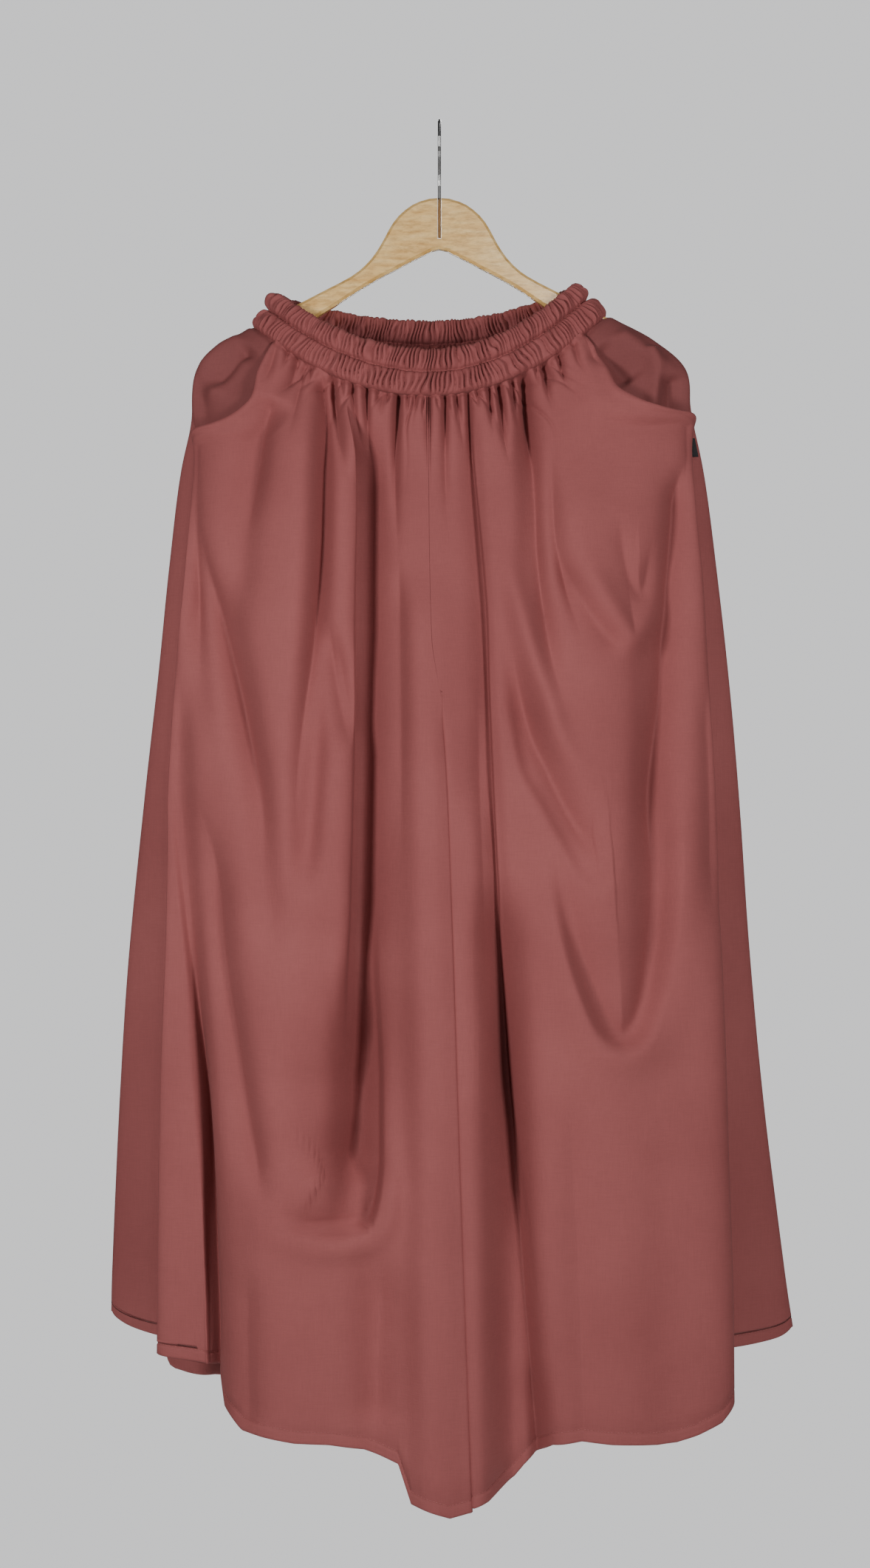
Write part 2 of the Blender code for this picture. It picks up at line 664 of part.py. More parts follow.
def main():
    for piece in list(bpy.data.objects):
        bpy.data.objects.remove(piece, do_unlink=True)
    for name in (COLLECTION, CUTTERS):
        bpy.context.scene.collection.children.link(bpy.data.collections.new(name))

    fabric = make_material("marsala_cloth", (0.300, 0.091, 0.084), 0.85)
    wood = make_material("pale_varnished_wood", (0.60, 0.42, 0.25), 0.35)
    steel = make_material("brushed_steel", (0.62, 0.61, 0.59), 0.30, 1.0)
    black = make_material("black_tape", (0.012, 0.012, 0.014), 0.75)

    hanger_body(wood)
    hanger_hook(steel)
    for face in (FRONT, BACK):
        waistband(face, fabric)
    for side in (LEFT, RIGHT):
        front_leg(side, fabric)
        back_leg(side, fabric)
        pocket_facing(side, fabric)
    side_tab(black)


main()
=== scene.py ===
import math
from collections import namedtuple

import bmesh
import bpy
import numpy as np
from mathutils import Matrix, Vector


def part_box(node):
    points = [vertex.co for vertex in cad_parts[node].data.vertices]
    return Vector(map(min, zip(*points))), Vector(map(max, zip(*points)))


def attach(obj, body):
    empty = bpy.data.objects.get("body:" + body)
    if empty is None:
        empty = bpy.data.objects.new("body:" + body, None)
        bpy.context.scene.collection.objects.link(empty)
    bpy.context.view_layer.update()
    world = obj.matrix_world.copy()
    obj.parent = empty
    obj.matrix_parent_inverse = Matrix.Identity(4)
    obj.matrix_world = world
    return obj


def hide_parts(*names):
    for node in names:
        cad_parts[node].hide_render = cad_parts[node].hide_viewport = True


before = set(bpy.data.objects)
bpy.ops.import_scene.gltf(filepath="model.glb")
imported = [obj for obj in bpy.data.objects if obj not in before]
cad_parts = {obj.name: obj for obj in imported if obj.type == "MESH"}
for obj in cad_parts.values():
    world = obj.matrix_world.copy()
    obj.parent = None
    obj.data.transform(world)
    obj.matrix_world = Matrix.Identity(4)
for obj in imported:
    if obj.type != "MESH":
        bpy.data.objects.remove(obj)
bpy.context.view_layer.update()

LEFT, RIGHT = -1, 1
FRONT, BACK = -1, 1
SIDE_NAMES = {LEFT: "left", RIGHT: "right"}
FACE_NAMES = {FRONT: "front", BACK: "back"}
SEED = 7

# Main form of the garment: the solids' own, but with closer legs, tighter corners and a finer hem
WAIST, POCKET_END, LOW, HEM_LEVEL = 1, 5, 11, 12
STEP = 0.001
Section = namedtuple(
    "Section",
    "name left_z right_z front_z back_z left_back left_front right_front right_back "
    "centre front_depth back_depth recess power parting",
)
SECTION_ROWS = (
    ("band top", -.156, -.148, -.213, -.175, .148, .148, .122, .122, -.008, .041, .043, 0, 1.10, 0),
    ("waist", -.186, -.176, -.255, -.221, .172, .172, .154, .154, -.010, .045, .047, 0, 1.06, 0),
    ("arm", -.205, -.199, -.278, -.250, .203, .203, .196, .196, -.010, .048, .050, 0, 1.02, 0),
    ("shoulder", -.227, -.226, -.302, -.280, .223, .223, .226, .226, -.010, .051, .054, 0, 1.00, 0),
    ("hip", -.262, -.262, -.345, -.330, .236, .229, .232, .244, -.0095, .055, .059, .002, 1.00, 0),
    ("pocket end", -.310, -.310, -.395, -.385, .257, .229, .236, .263, -.009, .060, .065, .008, 1.00, 0),
    ("upper thigh", -.400, -.400, -.460, -.455, .270, .244, .252, .277, -.0075, .066, .072, .016, .98, 0),
    ("seat", -.500, -.500, -.540, -.535, .282, .255, .260, .291, -.004, .072, .080, .022, .96, 0),
    ("crotch", -.620, -.620, -.620, -.620, .298, .264, .268, .303, .001, .079, .088, .027, .94, 0),
    ("knee", -.760, -.760, -.760, -.760, .315, .268, .272, .314, .006, .085, .094, .031, .90, .0002),
    ("calf", -.900, -.900, -.900, -.900, .326, .272, .277, .329, .0105, .090, .099, .034, .88, .0002),
    ("low", -1.050, -1.050, -1.050, -1.050, .334, .274, .282, .350, .0155, .094, .103, .036, .86, .0003),
    ("hem", -1.200, -1.200, -1.200, -1.200, .336, .275, .283, .360, .0225, .097, .107, .038, .85, .0004),
)
SECTIONS = tuple(Section(*row) for row in SECTION_ROWS)
RECESS_ANGLE = math.radians(14)
WRAP_LEVELS = (6.8, 8.0)
CORNER_WIDTH = 0.0020
CORNER_SHARE = 0.80
CORNER_POWER = 0.50
ROUND_LEVELS = (6.3, 6.8)
CROWDING = 1.15
CENTRE_LEAN = 0.006
LEAN_WIDTH = 0.25
LEAN_LEVELS = (6.2, 7.0)
PARTING_LEVELS = (6.8, 7.7)
HemPoint = namedtuple("HemPoint", "across left_front left_back right_front right_back")
HEM = (
    HemPoint(1.000, -1.118, -1.118, -1.128, -1.128),
    HemPoint(0.970, -1.120, -1.104, -1.148, -1.119),
    HemPoint(0.950, -1.121, -1.096, -1.160, -1.112),
    HemPoint(0.880, -1.123, -1.104, -1.178, -1.110),
    HemPoint(0.800, -1.127, -1.114, -1.187, -1.121),
    HemPoint(0.775, -1.129, -1.152, -1.189, -1.125),
    HemPoint(0.760, -1.131, -1.156, -1.190, -1.127),
    HemPoint(0.730, -1.163, -1.159, -1.192, -1.133),
    HemPoint(0.660, -1.178, -1.163, -1.193, -1.151),
    HemPoint(0.500, -1.187, -1.180, -1.191, -1.185),
    HemPoint(0.400, -1.189, -1.195, -1.188, -1.198),
    HemPoint(0.300, -1.194, -1.207, -1.192, -1.207),
    HemPoint(0.200, -1.206, -1.214, -1.212, -1.214),
    HemPoint(0.165, -1.240, -1.219, -1.222, -1.219),
    HemPoint(0.060, -1.251, -1.236, -1.239, -1.234),
    HemPoint(0.000, -1.247, -1.247, -1.244, -1.244),
)

# Main folds: the solids' own, three of them changed after the photograph
Fold = namedtuple("Fold", "name top_z low_z top_x mid_x low_x width depth lean")
FRONT_FOLDS = (
    Fold("left inner tube", -.40, -1.40, -.018, -.008, -.004, .026, .014, -.4),
    Fold("left inner valley", -.27, -1.02, -.072, -.072, -.080, .019, -.025, -.3),
    Fold("left flap", -.26, -.88, -.080, -.084, -.097, .020, .010, .6),
    Fold("left waist valley", -.24, -.72, -.101, -.104, -.119, .012, -.013, 0),
    Fold("left belly", -.24, -1.40, -.118, -.140, -.140, .046, .015, 0),
    Fold("left soft valley", -.23, -.48, -.152, -.167, -.172, .015, -.008, 0),
    Fold("left drag line", -.29, -.58, -.219, -.210, -.197, .012, -.007, 0),
    Fold("left slant drag", -.40, -.78, -.193, -.158, -.145, .014, -.008, 0),
    Fold("left side valley", -.48, -1.40, -.224, -.209, -.200, .017, -.009, .3),
    Fold("left low valley", -.98, -1.40, -.060, -.058, -.052, .018, -.007, 0),
    Fold("right centre crease", -.24, -.92, .026, .047, .062, .010, -.008, .3),
    Fold("right inner ridge", -.60, -1.40, .034, .037, .040, .016, .009, 0),
    Fold("right inner channel", -.68, -1.32, .053, .060, .066, .019, -.024, .3),
    Fold("right hip valley", -.23, -.46, .077, .078, .080, .011, -.007, 0),
    Fold("right belly", -.30, -1.40, .118, .122, .135, .055, .012, 0),
    Fold("right outer shade", -.40, -.86, .178, .181, .186, .016, -.008, 0),
    Fold("right side ridge", -.70, -1.40, .226, .232, .236, .022, .006, 0),
    Fold("right low shade", -.90, -1.40, .186, .190, .196, .020, -.003, 0),
)
BACK_FOLDS = (
    Fold("left flare valley", -.42, -1.40, -.212, -.222, -.232, .018, -.016, 0),
    Fold("left back ridge", -.30, -1.40, -.160, -.172, -.182, .034, .012, 0),
    Fold("left back valley", -.26, -1.30, -.098, -.112, -.122, .020, -.018, .3),
    Fold("left back roll", -.40, -1.40, -.052, -.060, -.066, .026, .012, 0),
    Fold("left seat valley", -.50, -1.40, -.020, -.018, -.012, .014, -.008, 0),
    Fold("right seat valley", -.52, -1.40, .022, .034, .046, .016, -.012, 0),
    Fold("right back roll", -.28, -1.40, .060, .078, .090, .030, .013, 0),
    Fold("right back valley", -.25, -1.28, .112, .128, .142, .019, -.018, -.3),
    Fold("right back ridge", -.34, -1.40, .168, .182, .196, .032, .011, 0),
    Fold("right flare valley", -.44, -1.40, .216, .232, .250, .018, -.016, 0),
)
FOLD_END = 0.07
SEAM_FADE = 0.05
CORNER_FADE = (0.775, 0.86)
CORNER_FADE_LEVELS = (6.9, 7.4)
Swag = namedtuple("Swag", "name tip_x tip_z half_width rise width depth")
BACK_SWAGS = (
    Swag("back left swag", -.150, -.560, .070, .22, .020, -.008),
    Swag("back right swag", .135, -.600, .066, .22, .020, -.008),
)
SWAG_POWER = 1.7
SWAG_FADE = (0.70, 1.15)

# Finer creases, each along a line of (x, z) points. A negative depth is a trough. Start and end
# are the shares of the length over which a crease fades in and out.
Stroke = namedtuple("Stroke", "name width depth start end line")
FRONT_STROKES = (
    Stroke("left waist valley", .0065, -.018, .04, .6, (
        (-.106, -.227), (-.105, -.241), (-.102, -.286), (-.103, -.340), (-.105, -.406), (-.112, -.486),
        (-.120, -.566), (-.123, -.625), (-.119, -.691),
    )),
    Stroke("left flap gather", .0045, -.010, .05, .5, (
        (-.096, -.234), (-.095, -.248), (-.092, -.280), (-.088, -.316), (-.082, -.341),
    )),
    Stroke("left flap trough", .009, -.009, .4, .5, ((-.093, -.460), (-.088, -.513), (-.081, -.582))),
    Stroke("left tube line", .0045, -.009, .03, .7, (
        (-.038, -.245), (-.038, -.259), (-.040, -.300), (-.040, -.344), (-.037, -.407),
    )),
    Stroke("left tube side", .007, -.005, .15, .5, (
        (-.037, -.393), (-.035, -.467), (-.034, -.566), (-.034, -.697),
    )),
    Stroke("left short gather", .0035, -.006, .03, .7, (
        (-.050, -.243), (-.051, -.257), (-.052, -.265), (-.054, -.279),
    )),
    Stroke("centre pleat left", .003, -.004, .03, .6, (
        (-.012, -.247), (-.012, -.261), (-.011, -.300), (-.009, -.334),
    )),
    Stroke("centre pleat right", .0045, -.006, .03, .6, (
        (.005, -.246), (.005, -.260), (.005, -.300), (.006, -.347), (.009, -.394),
    )),
    Stroke("left mouth diagonal", .009, -.012, .15, .3, ((-.164, -.205), (-.181, -.226), (-.199, -.246))),
    Stroke("left lip gather", .0045, -.005, .05, .5, (
        (-.143, -.200), (-.145, -.214), (-.149, -.232), (-.155, -.248),
    )),
    Stroke("left waist diagonal", .006, -.008, .05, .5, (
        (-.116, -.214), (-.122, -.228), (-.132, -.242), (-.146, -.260),
    )),
    Stroke("left belly valley", .011, -.012, .1, .6, (
        (-.145, -.255), (-.153, -.282), (-.157, -.312), (-.162, -.352), (-.167, -.395),
    )),
    Stroke("left side drag", .009, -.017, .08, .45, (
        (-.225, -.311), (-.222, -.357), (-.217, -.411), (-.208, -.471), (-.201, -.519),
    )),
    Stroke("left slant drag", .010, -.017, .3, .5, (
        (-.208, -.357), (-.193, -.442), (-.183, -.485), (-.172, -.531), (-.160, -.589), (-.152, -.632),
        (-.149, -.703),
    )),
    Stroke("left low slant", .014, -.018, .3, .15, (
        (-.207, -.605), (-.192, -.670), (-.187, -.748), (-.177, -.816), (-.166, -.889), (-.155, -.951),
        (-.141, -.986),
    )),
    Stroke("left hollow crest", .009, .004, .35, .35, (
        (-.165, -.987), (-.145, -1.005), (-.118, -1.017), (-.085, -1.020), (-.054, -1.010),
        (-.041, -.984), (-.040, -.945), (-.043, -.900),
    )),
    Stroke("left side stripe", .008, .0025, .3, .3, (
        (-.250, -.565), (-.251, -.733), (-.247, -.966), (-.239, -1.098),
    )),
    Stroke("left side valley", .016, -.020, .55, .02, (
        (-.223, -.500), (-.216, -.710), (-.209, -.940), (-.204, -1.170), (-.201, -1.320),
    )),
    Stroke("right centre gather", .0035, -.005, .03, .6, (
        (.018, -.245), (.018, -.259), (.019, -.280), (.023, -.308),
    )),
    Stroke("right ridge", .011, .010, .35, .3, (
        (.048, -.380), (.062, -.420), (.072, -.460), (.083, -.500), (.092, -.529), (.102, -.564),
        (.116, -.592), (.129, -.617),
    )),
    Stroke("right hip valley", .009, -.015, .03, .35, (
        (.075, -.229), (.076, -.243), (.078, -.273), (.084, -.313), (.086, -.353), (.087, -.393),
        (.090, -.433), (.095, -.473), (.101, -.509), (.109, -.548),
    )),
    Stroke("right second valley", .008, -.011, .4, .35, (
        (.098, -.280), (.100, -.326), (.102, -.382), (.108, -.414), (.116, -.453), (.125, -.486),
    )),
    Stroke("right waist pucker", .005, -.008, .1, .5, (
        (.091, -.210), (.095, -.224), (.099, -.233), (.104, -.247),
    )),
    Stroke("right vee side", .010, -.008, .3, .2, (
        (.104, -.393), (.112, -.416), (.127, -.447), (.146, -.475), (.161, -.488),
    )),
    Stroke("right vee", .013, .009, .3, .3, (
        (.121, -.393), (.136, -.433), (.153, -.462), (.167, -.474), (.179, -.453), (.190, -.418),
    )),
    Stroke("right inner vee", .009, -.006, .3, .3, (
        (.154, -.359), (.158, -.392), (.164, -.422), (.174, -.433), (.179, -.412), (.182, -.378),
    )),
    Stroke("right shade", .012, -.022, .12, .3, (
        (.208, -.304), (.204, -.358), (.199, -.418), (.195, -.472), (.193, -.525), (.188, -.572),
        (.184, -.615), (.183, -.658), (.186, -.712),
    )),
    Stroke("right side stripe", .010, -.007, .3, .3, ((.222, -.485), (.224, -.565), (.224, -.739))),
    Stroke("left yoke seam", .0030, -.0040, .2, .1, ((-.213, -.243), (-.217, -.270), (-.221, -.296))),
    Stroke("right swag body", .030, .006, .3, .3, (
        (.140, -.625), (.143, -.685), (.150, -.744), (.155, -.777),
    )),
    Stroke("right yoke seam", .0030, -.0040, .2, .1, ((.212, -.232), (.217, -.250), (.221, -.270))),
    Stroke("left yoke hollow", .010, -.009, .2, .3, ((-.213, -.228), (-.208, -.255), (-.213, -.285))),
    Stroke("left low gather", .004, -.005, .03, .6, (
        (-.121, -.222), (-.122, -.236), (-.126, -.262), (-.130, -.300),
    )),
    Stroke("right yoke patch", .010, -.011, .2, .2, ((.141, -.204), (.154, -.222), (.170, -.239))),
    Stroke("right yoke fold", .006, .007, .1, .1, ((.181, -.205), (.187, -.234), (.185, -.266))),
    Stroke("right yoke gap", .008, -.009, .2, .2, ((.200, -.230), (.202, -.253), (.202, -.270))),
    Stroke("right mouth gather", .005, -.006, .1, .4, (
        (.128, -.190), (.131, -.204), (.137, -.219), (.145, -.231),
    )),
    Stroke("right waist gather", .0045, -.006, .03, .6, (
        (.054, -.234), (.055, -.248), (.059, -.271), (.064, -.303),
    )),
    Stroke("right low ridge", .016, .007, .3, .2, ((.069, -.959), (.076, -1.056), (.085, -1.154))),
    Stroke("left belly low", .040, -.013, .3, .2, (
        (-.102, -.684), (-.098, -.763), (-.094, -.842), (-.091, -.907),
    )),
    Stroke("left vee line", .008, -.010, .3, .3, ((-.097, -.458), (-.093, -.511), (-.083, -.582))),
    Stroke("right strip side", .012, -.007, .3, .3, (
        (.035, -.500), (.036, -.605), (.040, -.724), (.045, -.841),
    )),
    Stroke("left low fold", .020, -.008, .3, .1, ((-.049, -1.023), (-.054, -1.088), (-.057, -1.173))),
    Stroke("left low side fold", .018, -.007, .3, .1, (
        (-.160, -1.026), (-.162, -1.092), (-.160, -1.177),
    )),
    Stroke("left yoke crest", .008, .008, .15, .35, ((-.177, -.188), (-.198, -.210), (-.220, -.230))),
    Stroke("right vee band", .014, -.017, .3, .2, (
        (.061, -.473), (.079, -.553), (.096, -.595), (.114, -.634), (.132, -.666), (.143, -.682),
    )),
    Stroke("left yoke low crest", .007, .006, .2, .3, ((-.167, -.211), (-.185, -.236), (-.206, -.261))),
    Stroke("right yoke top crest", .008, .007, .15, .35, (
        (.153, -.192), (.172, -.206), (.191, -.221), (.206, -.240),
    )),
    Stroke("right low hollow", .040, -.018, .3, .02, (
        (.107, -.842), (.116, -.947), (.122, -1.064), (.126, -1.215), (.128, -1.300),
    )),
    Stroke("left hollow body", .032, -.029, .4, .15, ((-.062, -.756), (-.070, -.855), (-.090, -.966))),
    Stroke("right low channel", .012, -.034, .40, .02, (
        (.057, -.684), (.062, -.783), (.067, -.881), (.073, -.985), (.079, -1.082), (.087, -1.187),
        (.092, -1.272),
    )),
)
BACK_STROKES = (
    Stroke("back centre gather", .004, -.0035, .03, .6, (
        (.004, -.218), (.004, -.232), (.006, -.275), (.004, -.345),
    )),
    Stroke("back left gather", .005, -.0045, .03, .6, (
        (-.059, -.212), (-.060, -.226), (-.063, -.270), (-.070, -.340), (-.078, -.440),
    )),
    Stroke("back right gather", .005, -.0045, .03, .6, (
        (.057, -.212), (.058, -.226), (.064, -.275), (.072, -.350), (.080, -.470),
    )),
    Stroke("back left drag", .008, -.005, .2, .4, (
        (-.212, -.300), (-.200, -.380), (-.184, -.470), (-.160, -.570), (-.140, -.650),
    )),
    Stroke("back right drag", .008, -.005, .2, .4, (
        (.214, -.310), (.204, -.400), (.190, -.500), (.168, -.600), (.150, -.690),
    )),
    Stroke("back left slack", .012, -.006, .3, .3, (
        (-.214, -.620), (-.206, -.690), (-.184, -.752), (-.152, -.770), (-.122, -.735), (-.108, -.660),
    )),
    Stroke("back right slack", .012, -.006, .3, .3, (
        (.098, -.560), (.108, -.640), (.132, -.705), (.164, -.722), (.192, -.680), (.206, -.600),
    )),
    Stroke("back left crest", .012, .005, .3, .3, (
        (-.222, -.640), (-.214, -.720), (-.188, -.792), (-.150, -.812), (-.110, -.770), (-.096, -.690),
    )),
    Stroke("back right crest", .012, .005, .3, .3, (
        (.086, -.590), (.096, -.680), (.126, -.748), (.166, -.764), (.202, -.712), (.216, -.630),
    )),
    Stroke("back low left fold", .012, -.005, .3, .1, (
        (-.070, -.800), (-.082, -.930), (-.088, -1.060), (-.084, -1.180),
    )),
    Stroke("back low right fold", .013, -.005, .3, .1, (
        (.196, -.780), (.190, -.920), (.194, -1.050), (.202, -1.150),
    )),
)
TROUGH_POWER = 1.35
RIDGE_POWER = 2.0
STROKE_REACH = 3


def smoothstep(low, high, value):
    part = np.clip((value - low) / (high - low), 0.0, 1.0)
    return part * part * (3 - 2 * part)


def bell(off):
    return np.exp(-(off**2))


def unit(vectors):
    return vectors / np.maximum(np.linalg.norm(vectors, axis=-1, keepdims=True), 1e-12)


def running(steps):
    """Sums of the steps so far, from 0."""
    return np.concatenate([[0], np.cumsum(steps)])


def spaced(count, closeness):
    """Places from 0 to 1, closer together where closeness, given at even steps, is high."""
    sums = running((closeness[1:] + closeness[:-1]) / 2)
    return np.interp(np.linspace(0, 1, count + 1), sums / sums[-1], np.linspace(0, 1, len(closeness)))


def panel_name(side, face):
    return SIDE_NAMES[side] + "_" + FACE_NAMES[face]


def hem_height(side, face, across):
    rows = HEM[::-1]
    heights = [getattr(row, panel_name(side, face)) for row in rows]
    return np.interp(across, [row.across for row in rows], heights)


def section_at(level):
    """The section at a level, on smooth curves through the table, and the hem's part in it."""
    count = len(SECTIONS)
    weights = []
    for place in range(-1, count + 1):
        gap = np.abs(level - place)
        near = 1.5 * gap**3 - 2.5 * gap**2 + 1
        far = -0.5 * gap**3 + 2.5 * gap**2 - 4 * gap + 2
        weights.append(np.where(gap < 1, near, np.where(gap < 2, far, 0.0)))
    before, after = weights[0], weights[-1]
    weights = weights[1:-1]
    weights[0] = weights[0] + 2 * before
    weights[1] = weights[1] - before
    weights[-1] = weights[-1] + 2 * after
    weights[-2] = weights[-2] - after
    values = []
    for field in Section._fields[1:]:
        values.append(sum(weight * getattr(row, field) for weight, row in zip(weights, SECTIONS)))
    return Section("between", *values), weights[-1]


def panel_sizes(section, side, face):
    """A section's reach, depth, middle height, side height and front reach, for one panel."""
    names = (
        panel_name(side, face),
        FACE_NAMES[face] + "_depth",
        FACE_NAMES[face] + "_z",
        SIDE_NAMES[side] + "_z",
        panel_name(side, FRONT),
    )
    return [getattr(section, name) for name in names]


def corner_turn(share, level):
    """How far the inner corner takes the cloth across, and the share of depth it leaves."""
    part = np.clip((share - CORNER_SHARE) / (1 - CORNER_SHARE), 0, 1)
    turn = part * math.pi / 2
    flat_x = CORNER_WIDTH * part
    round_x = CORNER_WIDTH * np.sin(turn) ** CORNER_POWER
    round_y = np.abs(np.cos(turn)) ** CORNER_POWER
    taken = flat_x + (round_x - flat_x) * smoothstep(*ROUND_LEVELS, level)
    return taken, 1 + (round_y - 1) * smoothstep(*WRAP_LEVELS, level)


def loft(side, face, share, level):
    """The cloth's main form, from the side seam (share 0) to the centre seam or inseam (1)."""
    section, hem_part = section_at(level)
    reach, depth, middle_z, side_z, front_reach = panel_sizes(section, side, face)
    seam = front_reach - section.recess
    inner = side * section.centre + section.parting * smoothstep(*PARTING_LEVELS, level)
    outer_part = np.clip(share / CORNER_SHARE, 0, 1)
    angle = (1 - (1 - outer_part) ** CROWDING) * math.pi / 2
    edge = reach - (reach - seam) * bell(angle / RECESS_ANGLE)
    corner = inner + CORNER_WIDTH
    reached = np.abs(np.cos(angle)) ** section.power
    taken, left = corner_turn(share, level)
    x = corner + (edge - corner) * reached - taken
    swell = np.abs(np.sin(angle)) ** section.power * left
    across = (corner + (reach - corner) * reached - taken - inner) / (reach - inner)
    leaning = smoothstep(*LEAN_LEVELS, level)
    lean = CENTRE_LEAN * leaning * (1 - smoothstep(0, LEAN_WIDTH, across)) * -face * swell
    z = middle_z + (side_z - middle_z) * across**2
    z = z + hem_part * (hem_height(side, face, across) - SECTIONS[HEM_LEVEL].front_z)
    return np.stack([side * x + lean, face * depth * swell, z], axis=-1)


def loft_normals(side, face, share, level):
    """Unit normals of the main form, pointing out of the garment."""
    share_low, share_high = np.clip(share - STEP, 0, 1), np.clip(share + STEP, 0, 1)
    across = loft(side, face, share_high, level) - loft(side, face, share_low, level)
    down = loft(side, face, share, level + STEP) - loft(side, face, share, level - STEP)
    return unit(np.cross(down, across) * (side * face))


def fold_relief(fold, x, z):
    part = np.clip((fold.top_z - z) / (fold.top_z - fold.low_z), 0, 1)
    upper = fold.top_x + (fold.mid_x - fold.top_x) * 2 * part
    bow = fold.top_x - 2 * fold.mid_x + fold.low_x
    line = upper + bow * 2 * part * (part - 0.5)
    off = x - line
    width = fold.width * (1 + fold.lean * np.tanh(-off / fold.width))
    fade = smoothstep(0, FOLD_END, fold.top_z - z) * smoothstep(0, FOLD_END, z - fold.low_z)
    return fold.depth * fade * bell(off / width)


def swag_relief(swag, x, z):
    off = np.abs(x - swag.tip_x) / swag.half_width
    line = swag.tip_z + swag.rise * off**SWAG_POWER
    slope = SWAG_POWER * swag.rise / swag.half_width * off ** (SWAG_POWER - 1)
    gap = (z - line) / np.sqrt(1 + slope**2)
    return swag.depth * (1 - smoothstep(*SWAG_FADE, off)) * bell(gap / swag.width)


def line_at(line, z):
    """The x of a line at a height, on a smooth curve through its (z, x) points."""
    points = sorted(line)
    heights = np.array([point[0] for point in points])
    places = np.array([point[1] for point in points])
    slopes = np.gradient(places, heights)
    z = np.clip(z, heights[0], heights[-1])
    index = np.clip(np.searchsorted(heights, z) - 1, 0, len(points) - 2)
    step = heights[index + 1] - heights[index]
    part = (z - heights[index]) / step
    rest = 1 - part
    near = (1 + 2 * part) * rest**2 * places[index] + part * rest**2 * step * slopes[index]
    far = part**2 * (3 - 2 * part) * places[index + 1] - part**2 * rest * step * slopes[index + 1]
    return near + far


# Short gathers that begin in the waist seam: place across, length, drift, width and depth
WaistGather = namedtuple("WaistGather", "x length drift width depth")
WAIST_GATHERS = (
    (-.134, .020, -.006, .0026, -.0070),
    (-.126, .034, -.011, .0030, -.0078),
    (-.114, .026, -.006, .0026, -.0070),
    (-.097, .060, .008, .0030, -.0093),
    (-.088, .030, .004, .0024, -.0070),
    (-.079, .064, .010, .0028, -.0093),
    (-.066, .070, .003, .0030, -.0124),
    (-.055, .016, -.002, .0022, -.0062),
    (-.047, .014, -.001, .0022, -.0078),
    (-.037, .075, -.004, .0026, -.0093),
    (-.029, .028, .000, .0022, -.0062),
    (-.021, .018, -.002, .0022, -.0070),
    (-.009, .050, .001, .0020, -.0054),
    (.005, .060, .001, .0024, -.0078),
    (.015, .030, .002, .0022, -.0070),
    (.026, .080, .006, .0028, -.0125),
    (.034, .018, .002, .0024, -.0070),
    (.045, .046, .004, .0026, -.0115),
    (.054, .078, .009, .0030, -.0125),
    (.066, .046, .006, .0026, -.0115),
    (.077, .090, .006, .0032, -.0145),
    (.087, .016, .004, .0024, -.0062),
    (.094, .046, .008, .0030, -.0120),
    (.107, .034, .009, .0026, -.0100),
    (.119, .030, .012, .0028, -.0070),
)
BACK_SHIFT, BACK_LENGTH, BACK_DEPTH = 0.004, 1.1, 0.9
GATHERS = {
    FRONT: [WaistGather(*row) for row in WAIST_GATHERS],
    BACK: [
        WaistGather(-x + BACK_SHIFT, length * BACK_LENGTH, -drift, width, depth * BACK_DEPTH)
        for x, length, drift, width, depth in WAIST_GATHERS
    ],
}
GATHER_RISE = 0.004
GATHER_BEND = 0.35
GATHER_FADES = (0.02, 0.85)


def waist_height(face, x):
    """Height of the waist seam, beside a place across."""
    side = LEFT if x < 0 else RIGHT
    _, _, middle_z, side_z, reach = panel_sizes(SECTIONS[WAIST], side, face)
    return middle_z + (side_z - middle_z) * (x / reach) ** 2


def gather_strokes(face):
    strokes = []
    for gather in GATHERS[face]:
        top = waist_height(face, gather.x) + GATHER_RISE
        line = [
            (gather.x, top),
            (gather.x + GATHER_BEND * gather.drift, top - 0.5 * gather.length - GATHER_RISE),
            (gather.x + gather.drift, top - gather.length - GATHER_RISE),
        ]
        strokes.append(Stroke("waist gather", gather.width, gather.depth, *GATHER_FADES, line))
    return tuple(strokes)


STROKES = {
    FRONT: FRONT_STROKES + gather_strokes(FRONT),
    BACK: BACK_STROKES + gather_strokes(BACK),
}


def smooth_line(points, steps=6):
    """Points along a smooth curve through a line's points."""
    points = np.array(points, dtype=float)
    ends = np.vstack([2 * points[0] - points[1], points, 2 * points[-1] - points[-2]])
    part = np.linspace(0, 1, steps, endpoint=False)[:, None]
    curve = []
    for before, first, second, after in zip(ends, ends[1:], ends[2:], ends[3:]):
        bend = 2 * before - 5 * first + 4 * second - after
        twist = 3 * first - before - 3 * second + after
        curve.append(first + 0.5 * ((second - before) * part + bend * part**2 + twist * part**3))
    return np.vstack(curve + [points[-1:]])


def nearest(curve, x, z):
    """Distance to a curve, positive on its left, and how far along it the nearest point is."""
    lengths = np.linalg.norm(np.diff(curve, axis=0), axis=1)
    begins = running(lengths)
    best = np.full_like(x, np.inf)
    along = np.zeros_like(x)
    hand = np.ones_like(x)
    for (x0, z0), (x1, z1), length, begin in zip(curve, curve[1:], lengths, begins):
        part = np.clip(((x - x0) * (x1 - x0) + (z - z0) * (z1 - z0)) / length**2, 0, 1)
        gap = np.hypot(x - x0 - part * (x1 - x0), z - z0 - part * (z1 - z0))
        closer = gap < best
        best = np.where(closer, gap, best)
        along = np.where(closer, begin + part * length, along)
        turn = (x1 - x0) * (z - z0) - (z1 - z0) * (x - x0)
        hand = np.where(closer, np.sign(turn), hand)
    return best * hand, along / begins[-1]


